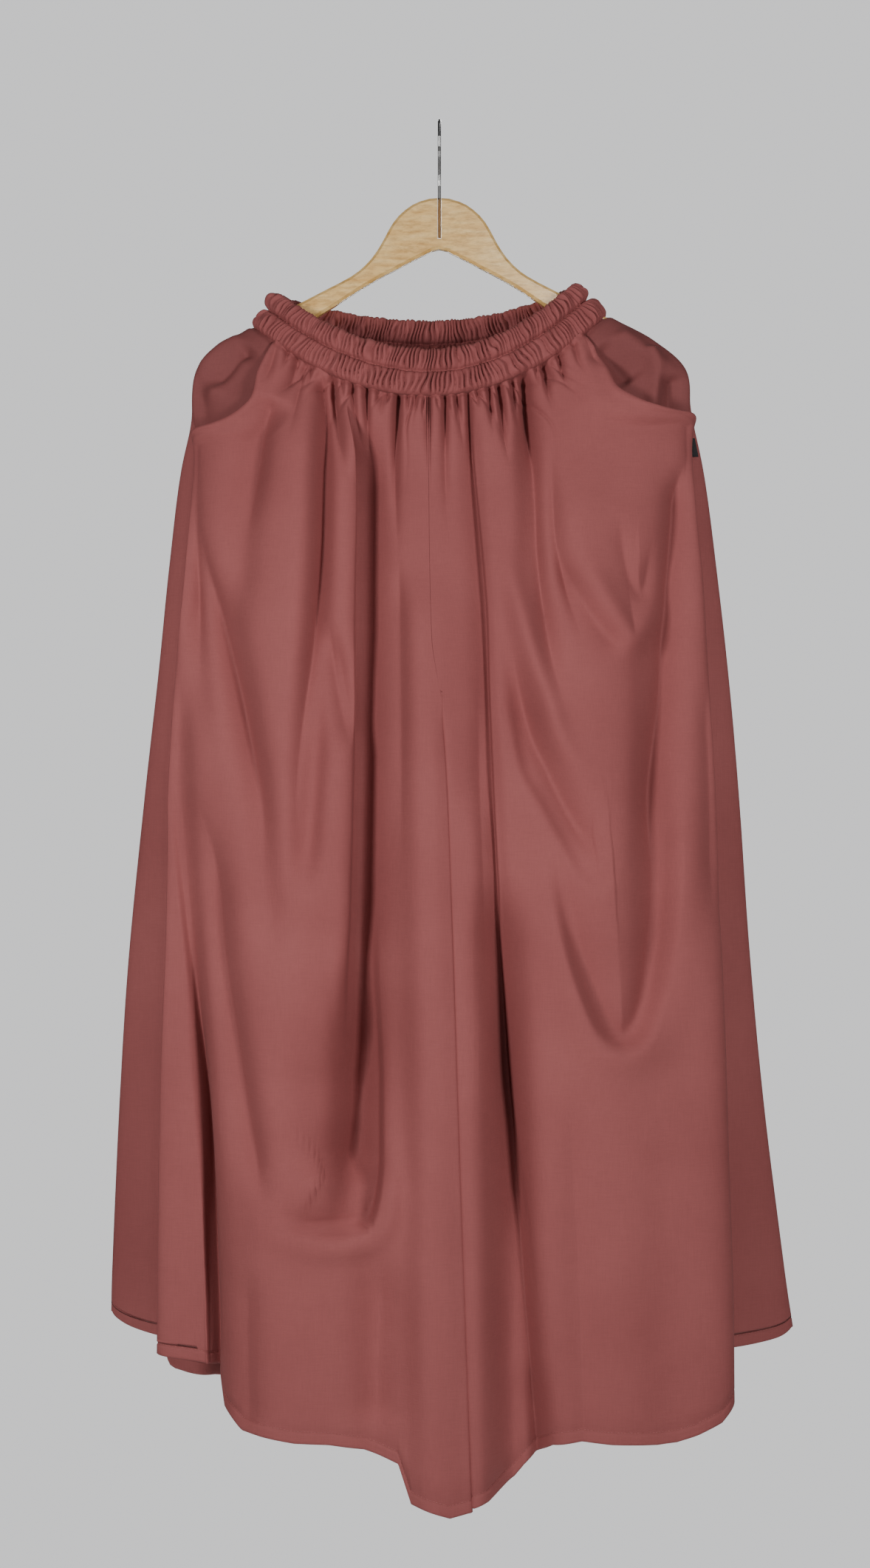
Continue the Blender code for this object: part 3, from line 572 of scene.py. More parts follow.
def beside_line(line, reach, x, z):
    """Which places lie in a box round a line, and their distance to it and place along it."""
    curve = smooth_line(line)
    (low_x, low_z), (high_x, high_z) = curve.min(axis=0) - reach, curve.max(axis=0) + reach
    near = (x > low_x) & (x < high_x) & (z > low_z) & (z < high_z)
    return near, *nearest(curve, x[near], z[near])


def ends_fade(row, along):
    return smoothstep(0, row.start, along) * (1 - smoothstep(1 - row.end, 1, along))


def stroke_relief(stroke, x, z):
    """Height of one fine crease: pointed where it is a trough, rounded where it is a ridge."""
    near, off, along = beside_line(stroke.line, STROKE_REACH * stroke.width, x, z)
    power = TROUGH_POWER if stroke.depth < 0 else RIDGE_POWER
    profile = np.exp(-((np.abs(off) / stroke.width) ** power))
    height = np.zeros_like(x)
    height[near] = stroke.depth * ends_fade(stroke, along) * profile
    return height


# A lap is cloth that lies over a deeper place: on one side of its line the cloth drops, and
# comes back up over its reach. The lip leans over the drop.
Lap = namedtuple("Lap", "name drop reach lean side start end line")
FRONT_LAPS = (
    Lap("left flap edge", .026, .028, .0060, 1, .10, .25, (
        (-.256, -.083), (-.300, -.079), (-.333, -.078), (-.433, -.079), (-.566, -.080), (-.671, -.082),
        (-.763, -.085), (-.850, -.088),
    )),
    Lap("left side tube edge", .011, .011, .0040, 1, .60, .06, (
        (-.460, -.230), (-.580, -.227), (-.712, -.221), (-.818, -.215), (-.910, -.209), (-1.029, -.205),
        (-1.134, -.202), (-1.290, -.199),
    )),
    Lap("right centre lap", .008, .026, .0020, -1, .10, .35, (
        (-.256, .027), (-.314, .032), (-.380, .038), (-.440, .043), (-.526, .046), (-.599, .049),
        (-.684, .053), (-.776, .060), (-.881, .068), (-1.004, .081), (-1.080, .088),
    )),
)
LAP_WIDTH = 0.0016
LAP_BULGE = 0.009
LAP_LIP = 0.25


def drop_profile(off, soft, bulge, reach):
    """The lip before a drop and the low place after it, each from 0 to 1."""
    over = smoothstep(-soft, soft, off)
    lip = bell((off + soft) / bulge) * (1 - over)
    return lip, over * np.exp(-np.maximum(off, 0) / reach)


def lap_shift(lap, x, z):
    """How far a lap moves the cloth out and sideways."""
    top, low = lap.line[0][0], lap.line[-1][0]
    length = top - low
    fade = smoothstep(0, lap.start * length, top - z) * smoothstep(0, lap.end * length, z - low)
    off = (x - line_at(lap.line, z)) * lap.side
    lip, below = drop_profile(off, LAP_WIDTH, LAP_BULGE, lap.reach)
    out = fade * (LAP_LIP * lap.drop * lip - lap.drop * below)
    return out, fade * lap.side * lap.lean * lip


# An edge is a lap on any curve: the cloth drops on the left of its line over a soft width, and
# comes back up over its reach. Start and end are the shares of its length that fade.
Edge = namedtuple("Edge", "name drop soft reach start end line")
FRONT_EDGES = (
    Edge("left hollow edge", .020, .0040, .026, .16, .45, (
        (-.141, -.982), (-.125, -.997), (-.104, -1.002), (-.082, -1.002), (-.063, -.994), (-.056, -.975),
        (-.053, -.949), (-.053, -.913), (-.054, -.861), (-.057, -.796), (-.059, -.711),
    )),
    Edge("left side low edge", .021, .0030, .016, .50, .02, (
        (-.219, -.732), (-.215, -.831), (-.208, -.930), (-.202, -1.028), (-.198, -1.127), (-.197, -1.225),
    )),
    Edge("right vee edge", .005, .0070, .014, .40, .25, (
        (.059, -.473), (.065, -.533), (.075, -.592), (.090, -.621), (.104, -.648), (.119, -.679),
        (.132, -.695), (.142, -.691), (.150, -.678), (.154, -.658),
    )),
    Edge("right swag edge", .020, .0100, .022, .30, .35, (
        (.096, -.638), (.099, -.675), (.105, -.712), (.115, -.756), (.127, -.795), (.141, -.826),
        (.157, -.836), (.172, -.824), (.183, -.788), (.189, -.742), (.193, -.682), (.194, -.619),
        (.194, -.559),
    )),
)
EDGE_LIP = 0.30
# Where an edge's low place fades out, in reaches from its line
EDGE_FADE = (2.2, 3.5)


def edge_relief(edge, x, z):
    near_reach, far_reach = (share * edge.reach for share in EDGE_FADE)
    near, off, along = beside_line(edge.line, far_reach, x, z)
    fade = ends_fade(edge, along)
    fade = fade * (1 - smoothstep(near_reach, far_reach, np.abs(off)))
    lip, below = drop_profile(off, edge.soft, LAP_BULGE + edge.soft, edge.reach)
    height = np.zeros_like(x)
    height[near] = fade * edge.drop * (EDGE_LIP * lip - below)
    return height


RIPPLE = 0.0009


def ripple(x, z):
    """Slight unevenness of cloth that hangs, in metres."""
    wave = np.sin(23 * x + 3.1 * np.sin(5 * z + 1.0)) * np.sin(9 * z + 2.0 * np.sin(11 * x))
    wave = wave + 0.6 * np.sin(61 * x + 2.3 * np.sin(7 * z)) * np.sin(14 * z + 1.7 * np.sin(17 * x + 2))
    wave = wave + 0.35 * np.sin(118 * x + 3.0 * np.sin(6 * z + 0.4)) * np.cos(19 * z + 2.6 * np.sin(29 * x))
    return RIPPLE * wave


SEEN_SHIFT = 0.030
SEEN_REACH = 0.27


def seen_place(face, x):
    """Across where a fold is seen: the dark wall of a valley near the side is its inner one."""
    return x - SEEN_SHIFT * (x / SEEN_REACH) ** 3 if face == FRONT else x


FORMS = {
    FRONT: ((fold_relief, FRONT_FOLDS), (edge_relief, FRONT_EDGES)),
    BACK: ((fold_relief, BACK_FOLDS), (swag_relief, BACK_SWAGS)),
}
LAPS = {FRONT: FRONT_LAPS, BACK: ()}


def relief(face, x, z):
    """Height of all named folds, edges and swags, and how far the laps lean."""
    height = ripple(x, z)
    for shape, rows in FORMS[face]:
        for row in rows:
            height = height + shape(row, x, z)
    lean = np.zeros_like(x)
    for lap in LAPS[face]:
        out, side = lap_shift(lap, x, z)
        height = height + out
        lean = lean + side
    return height, lean


# Small gathers below the waist, along the cloth's own threads
GATHER_COUNT = {FRONT: 27, BACK: 30}
GATHER_LEVELS = (1.0, 1.14)
GATHER_JITTER = 0.36
GATHER_WIDTHS = (0.0040, 0.0085)
GATHER_DEPTHS = (0.0018, 0.0048)
GATHER_END, GATHER_SPREAD, GATHER_SKEW = 1.5, 3.2, 1.8
GATHER_WANDER = 0.004
GATHER_WIDENING = 0.25
GATHER_FADE_LEVEL, GATHER_FADE_POWER = 1.1, 1.3


def gather_rows(side, face):
    """Share, half width, depth and lowest level of each small gather of a panel."""
    random = np.random.default_rng(SEED + 10 * (side + 1) + (face + 1))
    count = GATHER_COUNT[face]
    shares = (np.arange(count) + 0.5 + random.uniform(-GATHER_JITTER, GATHER_JITTER, count)) / count
    widths = random.uniform(*GATHER_WIDTHS, count)
    depths = random.uniform(*GATHER_DEPTHS, count)
    ends = GATHER_END + random.uniform(0, 1, count) ** GATHER_SKEW * GATHER_SPREAD
    return zip(shares, widths, depths, ends)


def gather_relief(side, face, share, level):
    total = np.zeros_like(share)
    for place, width, depth, end in gather_rows(side, face):
        wander = place + GATHER_WANDER * np.sin(3 * level + 40 * place)
        off = (share - wander) / (width * (1 + GATHER_WIDENING * (level - WAIST)))
        fade = (1 - smoothstep(GATHER_FADE_LEVEL, end, level)) ** GATHER_FADE_POWER
        fade = smoothstep(*GATHER_LEVELS, level) * fade
        total = total - depth * fade / (1 + off**2) ** 1.5
    return total


# Pocket mouth, on the solids' line
MOUTH = ((0.00, 0.230), (0.27, 0.295), (0.55, 0.325), (0.80, 0.215), (1.00, 0.000))
MOUTH_END = {LEFT: 4.75, RIGHT: 4.35}
MOUTH_GAPE = {LEFT: 0.002, RIGHT: 0.007}
MOUTH_FADE = (0.1, 0.9)
GAPE_PART = 0.72
GAPE_LENGTH = 0.22
GAPE_SHARE = 0.15
LIP_LIFT = 0.0034
LIP_ROLL = 0.0013
LIP_ROLL_SHARE = 0.012
LIP_ROLL_END = (0.9, 1.05)
LIP_SHARE = 0.05
LIP_FADE_SHARE = 0.11
LIP_END = (1.22, 1.50)
PLAIN_SHARE = 0.125
FACING_SHARE = 0.035
FACING_TAIL = 0.25
FACING_HOLLOW = {LEFT: 0.008, RIGHT: 0.010}


def mouth_share(side, level):
    part = np.clip((level - WAIST) / (MOUTH_END[side] - WAIST), 0, 1)
    return line_at(MOUTH, part)


def lip_height(side, share, level):
    """How far the front panel stands off the facing beside the pocket mouth."""
    beyond = share - mouth_share(side, level)
    part = (level - WAIST) / (MOUTH_END[side] - WAIST)
    across = 1 - smoothstep(LIP_SHARE, LIP_FADE_SHARE, beyond)
    down = 1 - smoothstep(*LIP_END, part)
    gape = MOUTH_GAPE[side] * bell((part - GAPE_PART) / GAPE_LENGTH)
    gape = gape * (1 - smoothstep(0, GAPE_SHARE, beyond))
    roll = LIP_ROLL * bell((beyond - LIP_ROLL_SHARE) / LIP_ROLL_SHARE)
    roll = roll * (1 - smoothstep(*LIP_ROLL_END, part))
    return LIP_LIFT * across * down + gape + roll


def seam_fade(share, level):
    parted = smoothstep(*CORNER_FADE_LEVELS, level)
    return smoothstep(0, SEAM_FADE, share) * (1 - parted * smoothstep(*CORNER_FADE, share))


def fold_fade(side, face, share, level):
    fade = seam_fade(share, level)
    if face == FRONT:
        beside = 1 - smoothstep(LIP_SHARE, PLAIN_SHARE, share - mouth_share(side, level))
        fade = fade * (1 - beside * (1 - smoothstep(*MOUTH_FADE, level - MOUTH_END[side])))
    return fade


# Seams draw the cloth in, and its top edge is tucked in behind the band
SEAM_DENT = 0.0012
WAIST_DENT = 0.0028
WAIST_DENT_LEVELS = 0.07
WAIST_TUCK = 0.0008
TUCK_LEVEL = 0.94
SEAM_LEVELS = (0.955, 1.005)
SEAM_SHARE = 0.3
SEAM_DENT_SHARE = 0.006


def with_seam_dents(height, share, level):
    parted = smoothstep(*WRAP_LEVELS, level)
    height = height - SEAM_DENT * bell(share / SEAM_DENT_SHARE)
    height = height - SEAM_DENT * (1 - parted) * bell((1 - share) / SEAM_DENT_SHARE)
    below = (level - WAIST) / WAIST_DENT_LEVELS
    return height - WAIST_DENT * bell(np.maximum(below, 0)) + np.minimum(below, 0) * WAIST_TUCK


def cloth(side, face, share, level):
    """The cloth's outer face with all its folds, gathers and seam dents."""
    points = loft(side, face, share, level)
    out = loft_normals(side, face, share, level)
    x, z = seen_place(face, points[..., 0]), points[..., 2]
    height, lean = relief(face, x, z)
    facing = np.abs(out[..., 1])
    fade = fold_fade(side, face, share, level)
    height = (height * facing + gather_relief(side, face, share, level)) * fade
    fine = sum(stroke_relief(stroke, x, z) for stroke in STROKES[face])
    height = height + fine * facing * seam_fade(share, level)
    height = height * (SEAM_SHARE + (1 - SEAM_SHARE) * smoothstep(*SEAM_LEVELS, level))
    points = points + out * with_seam_dents(height, share, level)[..., None]
    points[..., 0] += lean * fade
    return points


def grid_mesh(name, rows):
    """A sheet of four-sided faces through a grid of points."""
    height, width = rows.shape[:2]
    index = np.arange(height * width).reshape(height, width)
    faces = np.stack([index[:-1, :-1], index[1:, :-1], index[1:, 1:], index[:-1, 1:]], axis=-1)
    mesh = bpy.data.meshes.new(name)
    mesh.from_pydata(rows.reshape(-1, 3).tolist(), [], faces.reshape(-1, 4).tolist())
    mesh.shade_smooth()
    return mesh


def add_piece(name, mesh, material):
    mesh.materials.append(material)
    piece = bpy.data.objects.new(name, mesh)
    bpy.context.scene.collection.objects.link(piece)
    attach(piece, "root")
    return piece


def add_thickness(piece, thickness):
    wall = piece.modifiers.new("wall", "SOLIDIFY")
    wall.thickness = thickness
    wall.offset = -1
    wall.use_rim = True


def sheet_piece(node, points, face, material, thickness=0):
    """The sheet that replaces a solid, with its faces looking out of the garment."""
    mesh = grid_mesh("cloth_" + node, points)
    total = Vector((0, 0, 0))
    for polygon in mesh.polygons:
        total += polygon.normal * polygon.area
    if total.dot(Vector((0, face, 0))) < 0:
        mesh.flip_normals()
    piece = add_piece("cloth_" + node, mesh, material)
    if thickness:
        add_thickness(piece, thickness)
    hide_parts(node)
    return piece


CLOTH_THICKNESS = 0.0009
HEM_TURN = 0.011
HEM_FOLD = ((0.0009, -0.0006), (0.0019, 0.0004), (0.0021, 0.0030), (0.0020, 0.0070), (0.0018, 0.0110))
HEM_GROOVE = 0.0010
PANEL_COLUMNS = {FRONT: 376, BACK: 250}
TOP_ROWS = 72
PANEL_ROWS = 172
HEM_ROWS = 6
MOUTH_JOIN = 0.62
MOUTH_TURN_LEVELS = 0.3
HEM_REACH = 1.15
HEM_ZONE = 0.16
SPACING_STEPS = 801
# How close together a panel's columns are from the side seam to its other edge
COLUMN_SHARES = (0.0, 0.45, 0.52, 0.78, 0.84, 1.0)
COLUMN_CLOSENESS = (1.0, 1.0, 1.8, 1.8, 0.8, 0.8)
# The mouth's edge, turned under: share past the mouth and depth below the lip, column by column
TURNED_EDGE = ((0.016, 0.0026), (0.009, 0.0025), (0.003, 0.0019), (0.0004, 0.0009), (0.0010, 0.0002))
EDGE_STEP = 0.0006


def column_shares(face):
    places = np.linspace(0, 1, SPACING_STEPS)
    return spaced(PANEL_COLUMNS[face], np.interp(places, COLUMN_SHARES, COLUMN_CLOSENESS))


def grid_normals(points, outward):
    """Unit normals of a grid of points, on the side that outward gives."""
    return unit(np.cross(np.gradient(points, axis=0), np.gradient(points, axis=1)) * outward)


def with_hem(points, out):
    """Adds the turned-up hem behind the last rows of a sheet."""
    upward = unit(points[-4] - points[-1])
    points[-HEM_ROWS] -= out[-HEM_ROWS] * HEM_GROOVE
    extra = [points[-1] - out[-1] * back + upward * up for back, up in HEM_FOLD]
    return np.concatenate([points, np.array(extra)])


def panel_levels(side, face, part):
    """Levels of a panel's rows: close together below the waist and at the hem."""
    end = MOUTH_END[side] if face == FRONT else POCKET_END
    top = np.linspace(TUCK_LEVEL, end, TOP_ROWS + 1)
    body = np.linspace(end, HEM_LEVEL, PANEL_ROWS + 1)[1:-2]
    low = loft(side, face, part, np.full_like(part, float(LOW)))
    foot = loft(side, face, part, np.full_like(part, float(HEM_LEVEL)))
    drop = np.linalg.norm(foot - low, axis=-1)
    turn = HEM_LEVEL - HEM_REACH * HEM_TURN / drop
    hem = [turn + (HEM_LEVEL - turn) * step / HEM_ROWS for step in range(HEM_ROWS + 1)]
    plain = np.concatenate([top, body[body < HEM_LEVEL - HEM_ZONE]])
    return np.vstack([np.repeat(plain[:, None], len(part), axis=1), *hem])


def turned_edge(side, share, level, lift):
    """Turns the first columns of a front panel under along the pocket mouth."""
    past = (level[:, 0] - MOUTH_END[side]) / MOUTH_TURN_LEVELS
    turned = 1 - smoothstep(-1, 0, past)
    start = mouth_share(side, level[:, 0])
    for column, (beyond, depth) in enumerate(TURNED_EDGE):
        plain = column * EDGE_STEP
        share[:, column] = start + beyond * turned + plain * (1 - turned)
        lift[:, column] -= depth * turned
    return share, lift


def leg_panel(side, face, material):
    part = column_shares(face)
    level = panel_levels(side, face, part)
    share = np.repeat(part[None, :], len(level), axis=0)
    lift = np.zeros_like(share)
    if face == FRONT:
        start = mouth_share(side, level)
        near = start + (MOUTH_JOIN - start) * share / MOUTH_JOIN
        share = np.where(share < MOUTH_JOIN, near, share)
        lift = lip_height(side, share, level)
        share, lift = turned_edge(side, share, level, lift)
    points = cloth(side, face, share, level)
    points = points + loft_normals(side, face, share, level) * lift[..., None]
    points = with_hem(points, grid_normals(points, side * face))
    node = FACE_NAMES[face] + "_leg_" + SIDE_NAMES[side]
    return sheet_piece(node, points, face, material), points


# The facing sinks into the pocket. The scale brings its profile, highest at three quarters of its
# width, to 1.
FACING_GRID = (80, 40)
FACING_POWERS = (1.5, 0.5)
FACING_SCALE = 3.08
FACING_START, FACING_STOP = (0.12, 0.45), (0.88, 1.0)


def pocket_facing(side, material):
    end = MOUTH_END[side]
    rows, columns = FACING_GRID
    levels = np.linspace(TUCK_LEVEL, end + FACING_TAIL, rows)
    level, part = np.meshgrid(levels, np.linspace(0, 1, columns), indexing="ij")
    share = (mouth_share(side, levels) + FACING_SHARE)[:, None] * part
    points = cloth(side, FRONT, share, level)
    down = np.clip((level - WAIST) / (end - WAIST), 0, 1)
    low = smoothstep(*FACING_START, down) * (1 - smoothstep(*FACING_STOP, down))
    rise, fall = FACING_POWERS
    hollow = FACING_SCALE * part**rise * (1 - part) ** fall * low
    points -= loft_normals(side, FRONT, share, level) * (FACING_HOLLOW[side] * hollow)[..., None]
    node = "pocket_facing_" + SIDE_NAMES[side]
    return sheet_piece(node, points, FRONT, material, CLOTH_THICKNESS)


# Waistband
BAND_COLUMNS = 760
BAND_ROWS = 34
BAND_GATHERS = 82
BAND_INSET = 0.0085
BAND_BASE = -0.0032
BAND_PUFF = 0.0018
BAND_RIDGE = 0.0056
BAND_PINCH = 0.0022
BAND_CREST = 0.0022
BAND_EDGE = 0.0016
BAND_GROOVE = 0.0020
BAND_GROOVE_WIDTH = 0.035
CHANNEL = 0.46
BAND_POWER = 0.55
BAND_CLOSENESS = 2.5
BAND_CLOSE_SHARE = 0.05
BAND_SPACING_STEPS = 401
BAND_CREST_LEVEL = 0.6
INNER_SEED = 20
WELD = 0.00001


def band_ridges(phase, count, along, down, random):
    """Rounded ridges between sharp valleys, uneven in place and height."""
    bends = random.uniform(0, 2 * math.pi, 7)
    warp = 0.55 * np.sin(9 * along * 2 * math.pi / 3 + bends[0]) + 0.42 * np.sin(23 * along + bends[1])
    warp = warp + 0.30 * np.sin(57 * along + bends[2]) + 0.16 * np.sin(131 * along + bends[3])
    slant = 0.75 * np.sin(17 * along + bends[4]) * (down - 0.5)
    slant = slant + 0.40 * np.sin(83 * along + bends[6]) * (down - 0.5)
    slant = slant + 0.14 * np.sin(7 * down + 61 * along + bends[1])
    turn = math.pi * (count * along + warp + slant) + phase
    height = np.abs(np.sin(turn)) ** BAND_POWER
    uneven = 0.74 + 0.40 * np.sin(41 * along + bends[5]) * np.sin(97 * along + bends[0] + 2 * down)
    return height * uneven


def band_height(along, down, random):
    """Raised gathers of the two elastic channels above the band's base."""
    in_upper = down < CHANNEL
    painted_shade_cloth = np.where(in_upper, down / CHANNEL, (down - CHANNEL) / (1 - CHANNEL))
    puff = np.abs(np.sin(math.pi * np.clip(painted_shade_cloth, 0, 1))) ** 0.5
    first = band_ridges(0.0, BAND_GATHERS, along, painted_shade_cloth, random)
    second = band_ridges(1.1, BAND_GATHERS - 3, along, painted_shade_cloth, random)
    ridges = np.where(in_upper, first, second)
    edge = BAND_EDGE * smoothstep(0.94, 1.0, down)
    edge = edge + BAND_GROOVE * bell((down - CHANNEL) / BAND_GROOVE_WIDTH)
    return BAND_BASE + puff * (BAND_PUFF + BAND_RIDGE * ridges) + BAND_PINCH * ridges - edge, first


def band_rows():
    """Rows of the band, closer together beside its stitch line and its lower seam."""
    places = np.linspace(0, 1, BAND_SPACING_STEPS)
    near = bell((places - CHANNEL) / BAND_CLOSE_SHARE) + bell((places - 1) / BAND_CLOSE_SHARE)
    return spaced(BAND_ROWS, 1 + BAND_CLOSENESS * near)


def band_base(face, down):
    """The band's main form from side to side, and its normals."""
    shares = np.linspace(0, 1, BAND_COLUMNS // 2 + 1)
    level, share = np.meshgrid(down * WAIST, shares, indexing="ij")
    halves = []
    for side in (LEFT, RIGHT):
        halves.append((loft(side, face, share, level), loft_normals(side, face, share, level)))
    return [np.concatenate([left, right[:, -2::-1]], axis=1) for left, right in zip(*halves)]


def ring_mesh(name, rows):
    """A closed shell through rows that come back to the first, with its two ends filled."""
    mesh = grid_mesh(name, rows)
    shape = bmesh.new()
    shape.from_mesh(mesh)
    bmesh.ops.remove_doubles(shape, verts=shape.verts, dist=WELD)
    bmesh.ops.holes_fill(shape, edges=[e for e in shape.edges if e.is_boundary], sides=0)
    bmesh.ops.recalc_face_normals(shape, faces=shape.faces)
    shape.to_mesh(mesh)
    shape.free()
    mesh.shade_smooth()
    return mesh


def waistband(face, material):
    random = np.random.default_rng(SEED + face)
    down = band_rows()
    base, out = band_base(face, down)
    along = running(np.linalg.norm(np.diff(base[0], axis=0), axis=-1))
    below, along = np.meshgrid(down, along / along[-1], indexing="ij")
    height, crest = band_height(along, below, random)
    hidden, _ = band_height(along, below, np.random.default_rng(SEED + INNER_SEED + face))
    outer = base + out * height[..., None]
    inner = base - out * (BAND_INSET + hidden - BAND_BASE)[..., None]
    for sheet in (outer, inner):
        sheet[..., 2] += BAND_CREST * (crest - BAND_CREST_LEVEL) * (1 - below) ** 4
    node = "waistband_" + FACE_NAMES[face]
    mesh = ring_mesh("cloth_" + node, np.concatenate([outer, inner[::-1], outer[:1]]))
    piece = add_piece("cloth_" + node, mesh, material)
    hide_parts(node)
    return piece, outer


# Stitches: short rounded thread ends, each a small capsule
STITCH_LENGTH = 0.0022
STITCH_PITCH = 0.0030
STITCH_AHEAD = 0.0006
THREAD_RADIUS = 0.00026
BAND_BRIDGE = 9
THREAD_SIDES = 6
THREAD_RINGS = ((-0.5, 0.15), (-0.42, 0.8), (0.0, 1.0), (0.42, 0.8), (0.5, 0.15))


def thread_points(line):
    """Places and directions of stitches at even steps along a line of points."""
    run = running(np.linalg.norm(np.diff(line, axis=0), axis=1))
    places = np.arange(0.5 * STITCH_PITCH, run[-1], STITCH_PITCH)
    middle, ahead = (
        np.stack([np.interp(places + step, run, line[:, axis]) for axis in range(3)], axis=-1)
        for step in (0, STITCH_AHEAD)
    )
    return zip(middle, unit(ahead - middle))


def stitch_row(name, line, face, material):
    """A row of stitches lying on cloth, as one mesh."""
    outward = np.array([0.0, float(face), 0.0])
    corners, faces = [], []
    for place, ahead in thread_points(line):
        side = unit(np.cross(ahead, outward))
        up = np.cross(side, ahead)
        for ring, (step, width) in enumerate(THREAD_RINGS):
            first = len(corners)
            centre = place + ahead * step * STITCH_LENGTH
            for turn in range(THREAD_SIDES):
                angle = 2 * math.pi * turn / THREAD_SIDES
                spoke = side * math.cos(angle) + up * math.sin(angle)
                corners.append(centre + spoke * THREAD_RADIUS * width)
                if ring < len(THREAD_RINGS) - 1:
                    a, b = first + turn, first + (turn + 1) % THREAD_SIDES
                    faces.append((a, b, b + THREAD_SIDES, a + THREAD_SIDES))
    mesh = bpy.data.meshes.new(name)
    mesh.from_pydata([tuple(corner) for corner in corners], [], faces)
    mesh.shade_smooth()
    return add_piece(name, mesh, material)


def hem_stitches(side, face, points, material):
    """The hem's stitch line, in the groove at the turned edge's top."""
    row = -HEM_ROWS - len(HEM_FOLD)
    line = points[row] + grid_normals(points, side * face)[row] * THREAD_RADIUS
    name = "stitches_hem_" + FACE_NAMES[face] + "_" + SIDE_NAMES[side]
    return stitch_row(name, line, face, material)


def band_stitches(face, outer, material):
    """The stitch line between the band's two channels, bridging the gathers."""
    row = outer[int(np.argmin(np.abs(band_rows() - CHANNEL)))]
    window = np.ones(BAND_BRIDGE) / BAND_BRIDGE
    line = np.stack([np.convolve(row[:, axis], window, "valid") for axis in range(3)], axis=-1)
    return stitch_row("stitches_band_" + FACE_NAMES[face], line, face, material)


# Side tab: a folded loop of tape whose two ends are in the side seam
TAB_TAPE = 0.0005
TAB_TILT = 0.20
TAB_ROOT, TAB_TIP = 0.0065, 0.0055
TAB_TRIM, TAB_SWELL = 0.0006, 0.0002
TAB_TURNS, TAB_ROWS = 8, 11


def side_tab(material):
    low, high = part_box("side_tab")
    root, tip = low.x - TAB_ROOT, high.x - TAB_TIP
    half, depth = (high.z - low.z) / 2 - TAB_TRIM, (high.y - low.y) / 2 + TAB_SWELL
    centre_y, centre_z = (low.y + high.y) / 2, (low.z + high.z) / 2
    turns = [math.pi * (0.5 - step / TAB_TURNS) for step in range(TAB_TURNS + 1)]
    bend = [(tip + depth * math.cos(turn), depth * math.sin(turn)) for turn in turns]
    rows = []
    for height in np.linspace(-half, half, TAB_ROWS):
        loop = [(root, depth), *bend, (root, -depth)]
        rows.append([(x - TAB_TILT * height, centre_y + y, centre_z + height) for x, y in loop])
    piece = add_piece("tab_loop", grid_mesh("tab_loop", np.array(rows)), material)
    add_thickness(piece, TAB_TAPE)
    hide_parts("side_tab")


# Materials
# The pocket facing's cloth is a darker copy of the same cloth: painted shade for its recess behind the lip.
FACING_PAINTED_SHADE = 0.70
CLOTH_COLOURS = ((0.30, (0.262, 0.071, 0.069)), (0.72, (0.300, 0.086, 0.083)))
GRAIN_STOPS = (0.30, 0.70)


def node_tree(name):
    """A new material with its node tree and main shader."""
    material = bpy.data.materials.new(name)
    material.use_nodes = True
    tree = material.node_tree
    return material, tree, tree.nodes["Principled BSDF"]


def set_inputs(node, **values):
    """Sets a node's inputs by name, with _ for a space."""
    for name, value in values.items():
        node.inputs[name.replace("_", " ")].default_value = value


def add_node(tree, kind, **values):
    """Adds a node, and sets its properties and inputs by name."""
    node = tree.nodes.new(kind)
    for name, value in values.items():
        if hasattr(node, name):
            setattr(node, name, value)
        else:
            set_inputs(node, **{name: value})
    return node


def noise_layer(tree, stretch, detail, roughness, scale=1.0):
    """Noise in the object's own space, stretched along its axes."""
    place = tree.nodes.new("ShaderNodeTexCoord")
    mapping = add_node(tree, "ShaderNodeMapping", Scale=stretch)
    noise = add_node(tree, "ShaderNodeTexNoise", Scale=scale, Detail=detail, Roughness=roughness)
    tree.links.new(place.outputs["Object"], mapping.inputs["Vector"])
    tree.links.new(mapping.outputs["Vector"], noise.inputs["Vector"])
    return noise.outputs["Fac"]


def ramp_layer(tree, source, stops):
    ramp = tree.nodes.new("ShaderNodeValToRGB")
    elements = ramp.color_ramp.elements
    while len(elements) < len(stops):
        elements.new(0.5)
    for element, (position, colour) in zip(elements, stops):
        element.position = position
        element.color = (*colour, 1)
    tree.links.new(source, ramp.inputs["Fac"])
    return ramp.outputs["Color"]


def blend_layer(tree, factor, first, second):
    mix = add_node(tree, "ShaderNodeMix", data_type="RGBA", blend_type="MULTIPLY", Factor=factor)
    tree.links.new(first, mix.inputs["A"])
    tree.links.new(second, mix.inputs["B"])
    return mix.outputs["Result"]


def bump_layer(tree, shader, source, strength, distance):
    bump = add_node(tree, "ShaderNodeBump", Strength=strength, Distance=distance)
    tree.links.new(source, bump.inputs["Height"])
    tree.links.new(bump.outputs["Normal"], shader.inputs["Normal"])


def grained_material(name, stretch, noise, colours, bump=None, **values):
    """A material whose colour runs between two with a noise, and whose bump follows it."""
    material, tree, shader = node_tree(name)
    grain = noise_layer(tree, stretch, *noise)
    colour = ramp_layer(tree, grain, tuple(zip(GRAIN_STOPS, colours)))
    tree.links.new(colour, shader.inputs["Base Color"])
    if bump:
        bump_layer(tree, shader, grain, *bump)
    set_inputs(shader, **values)
    return material


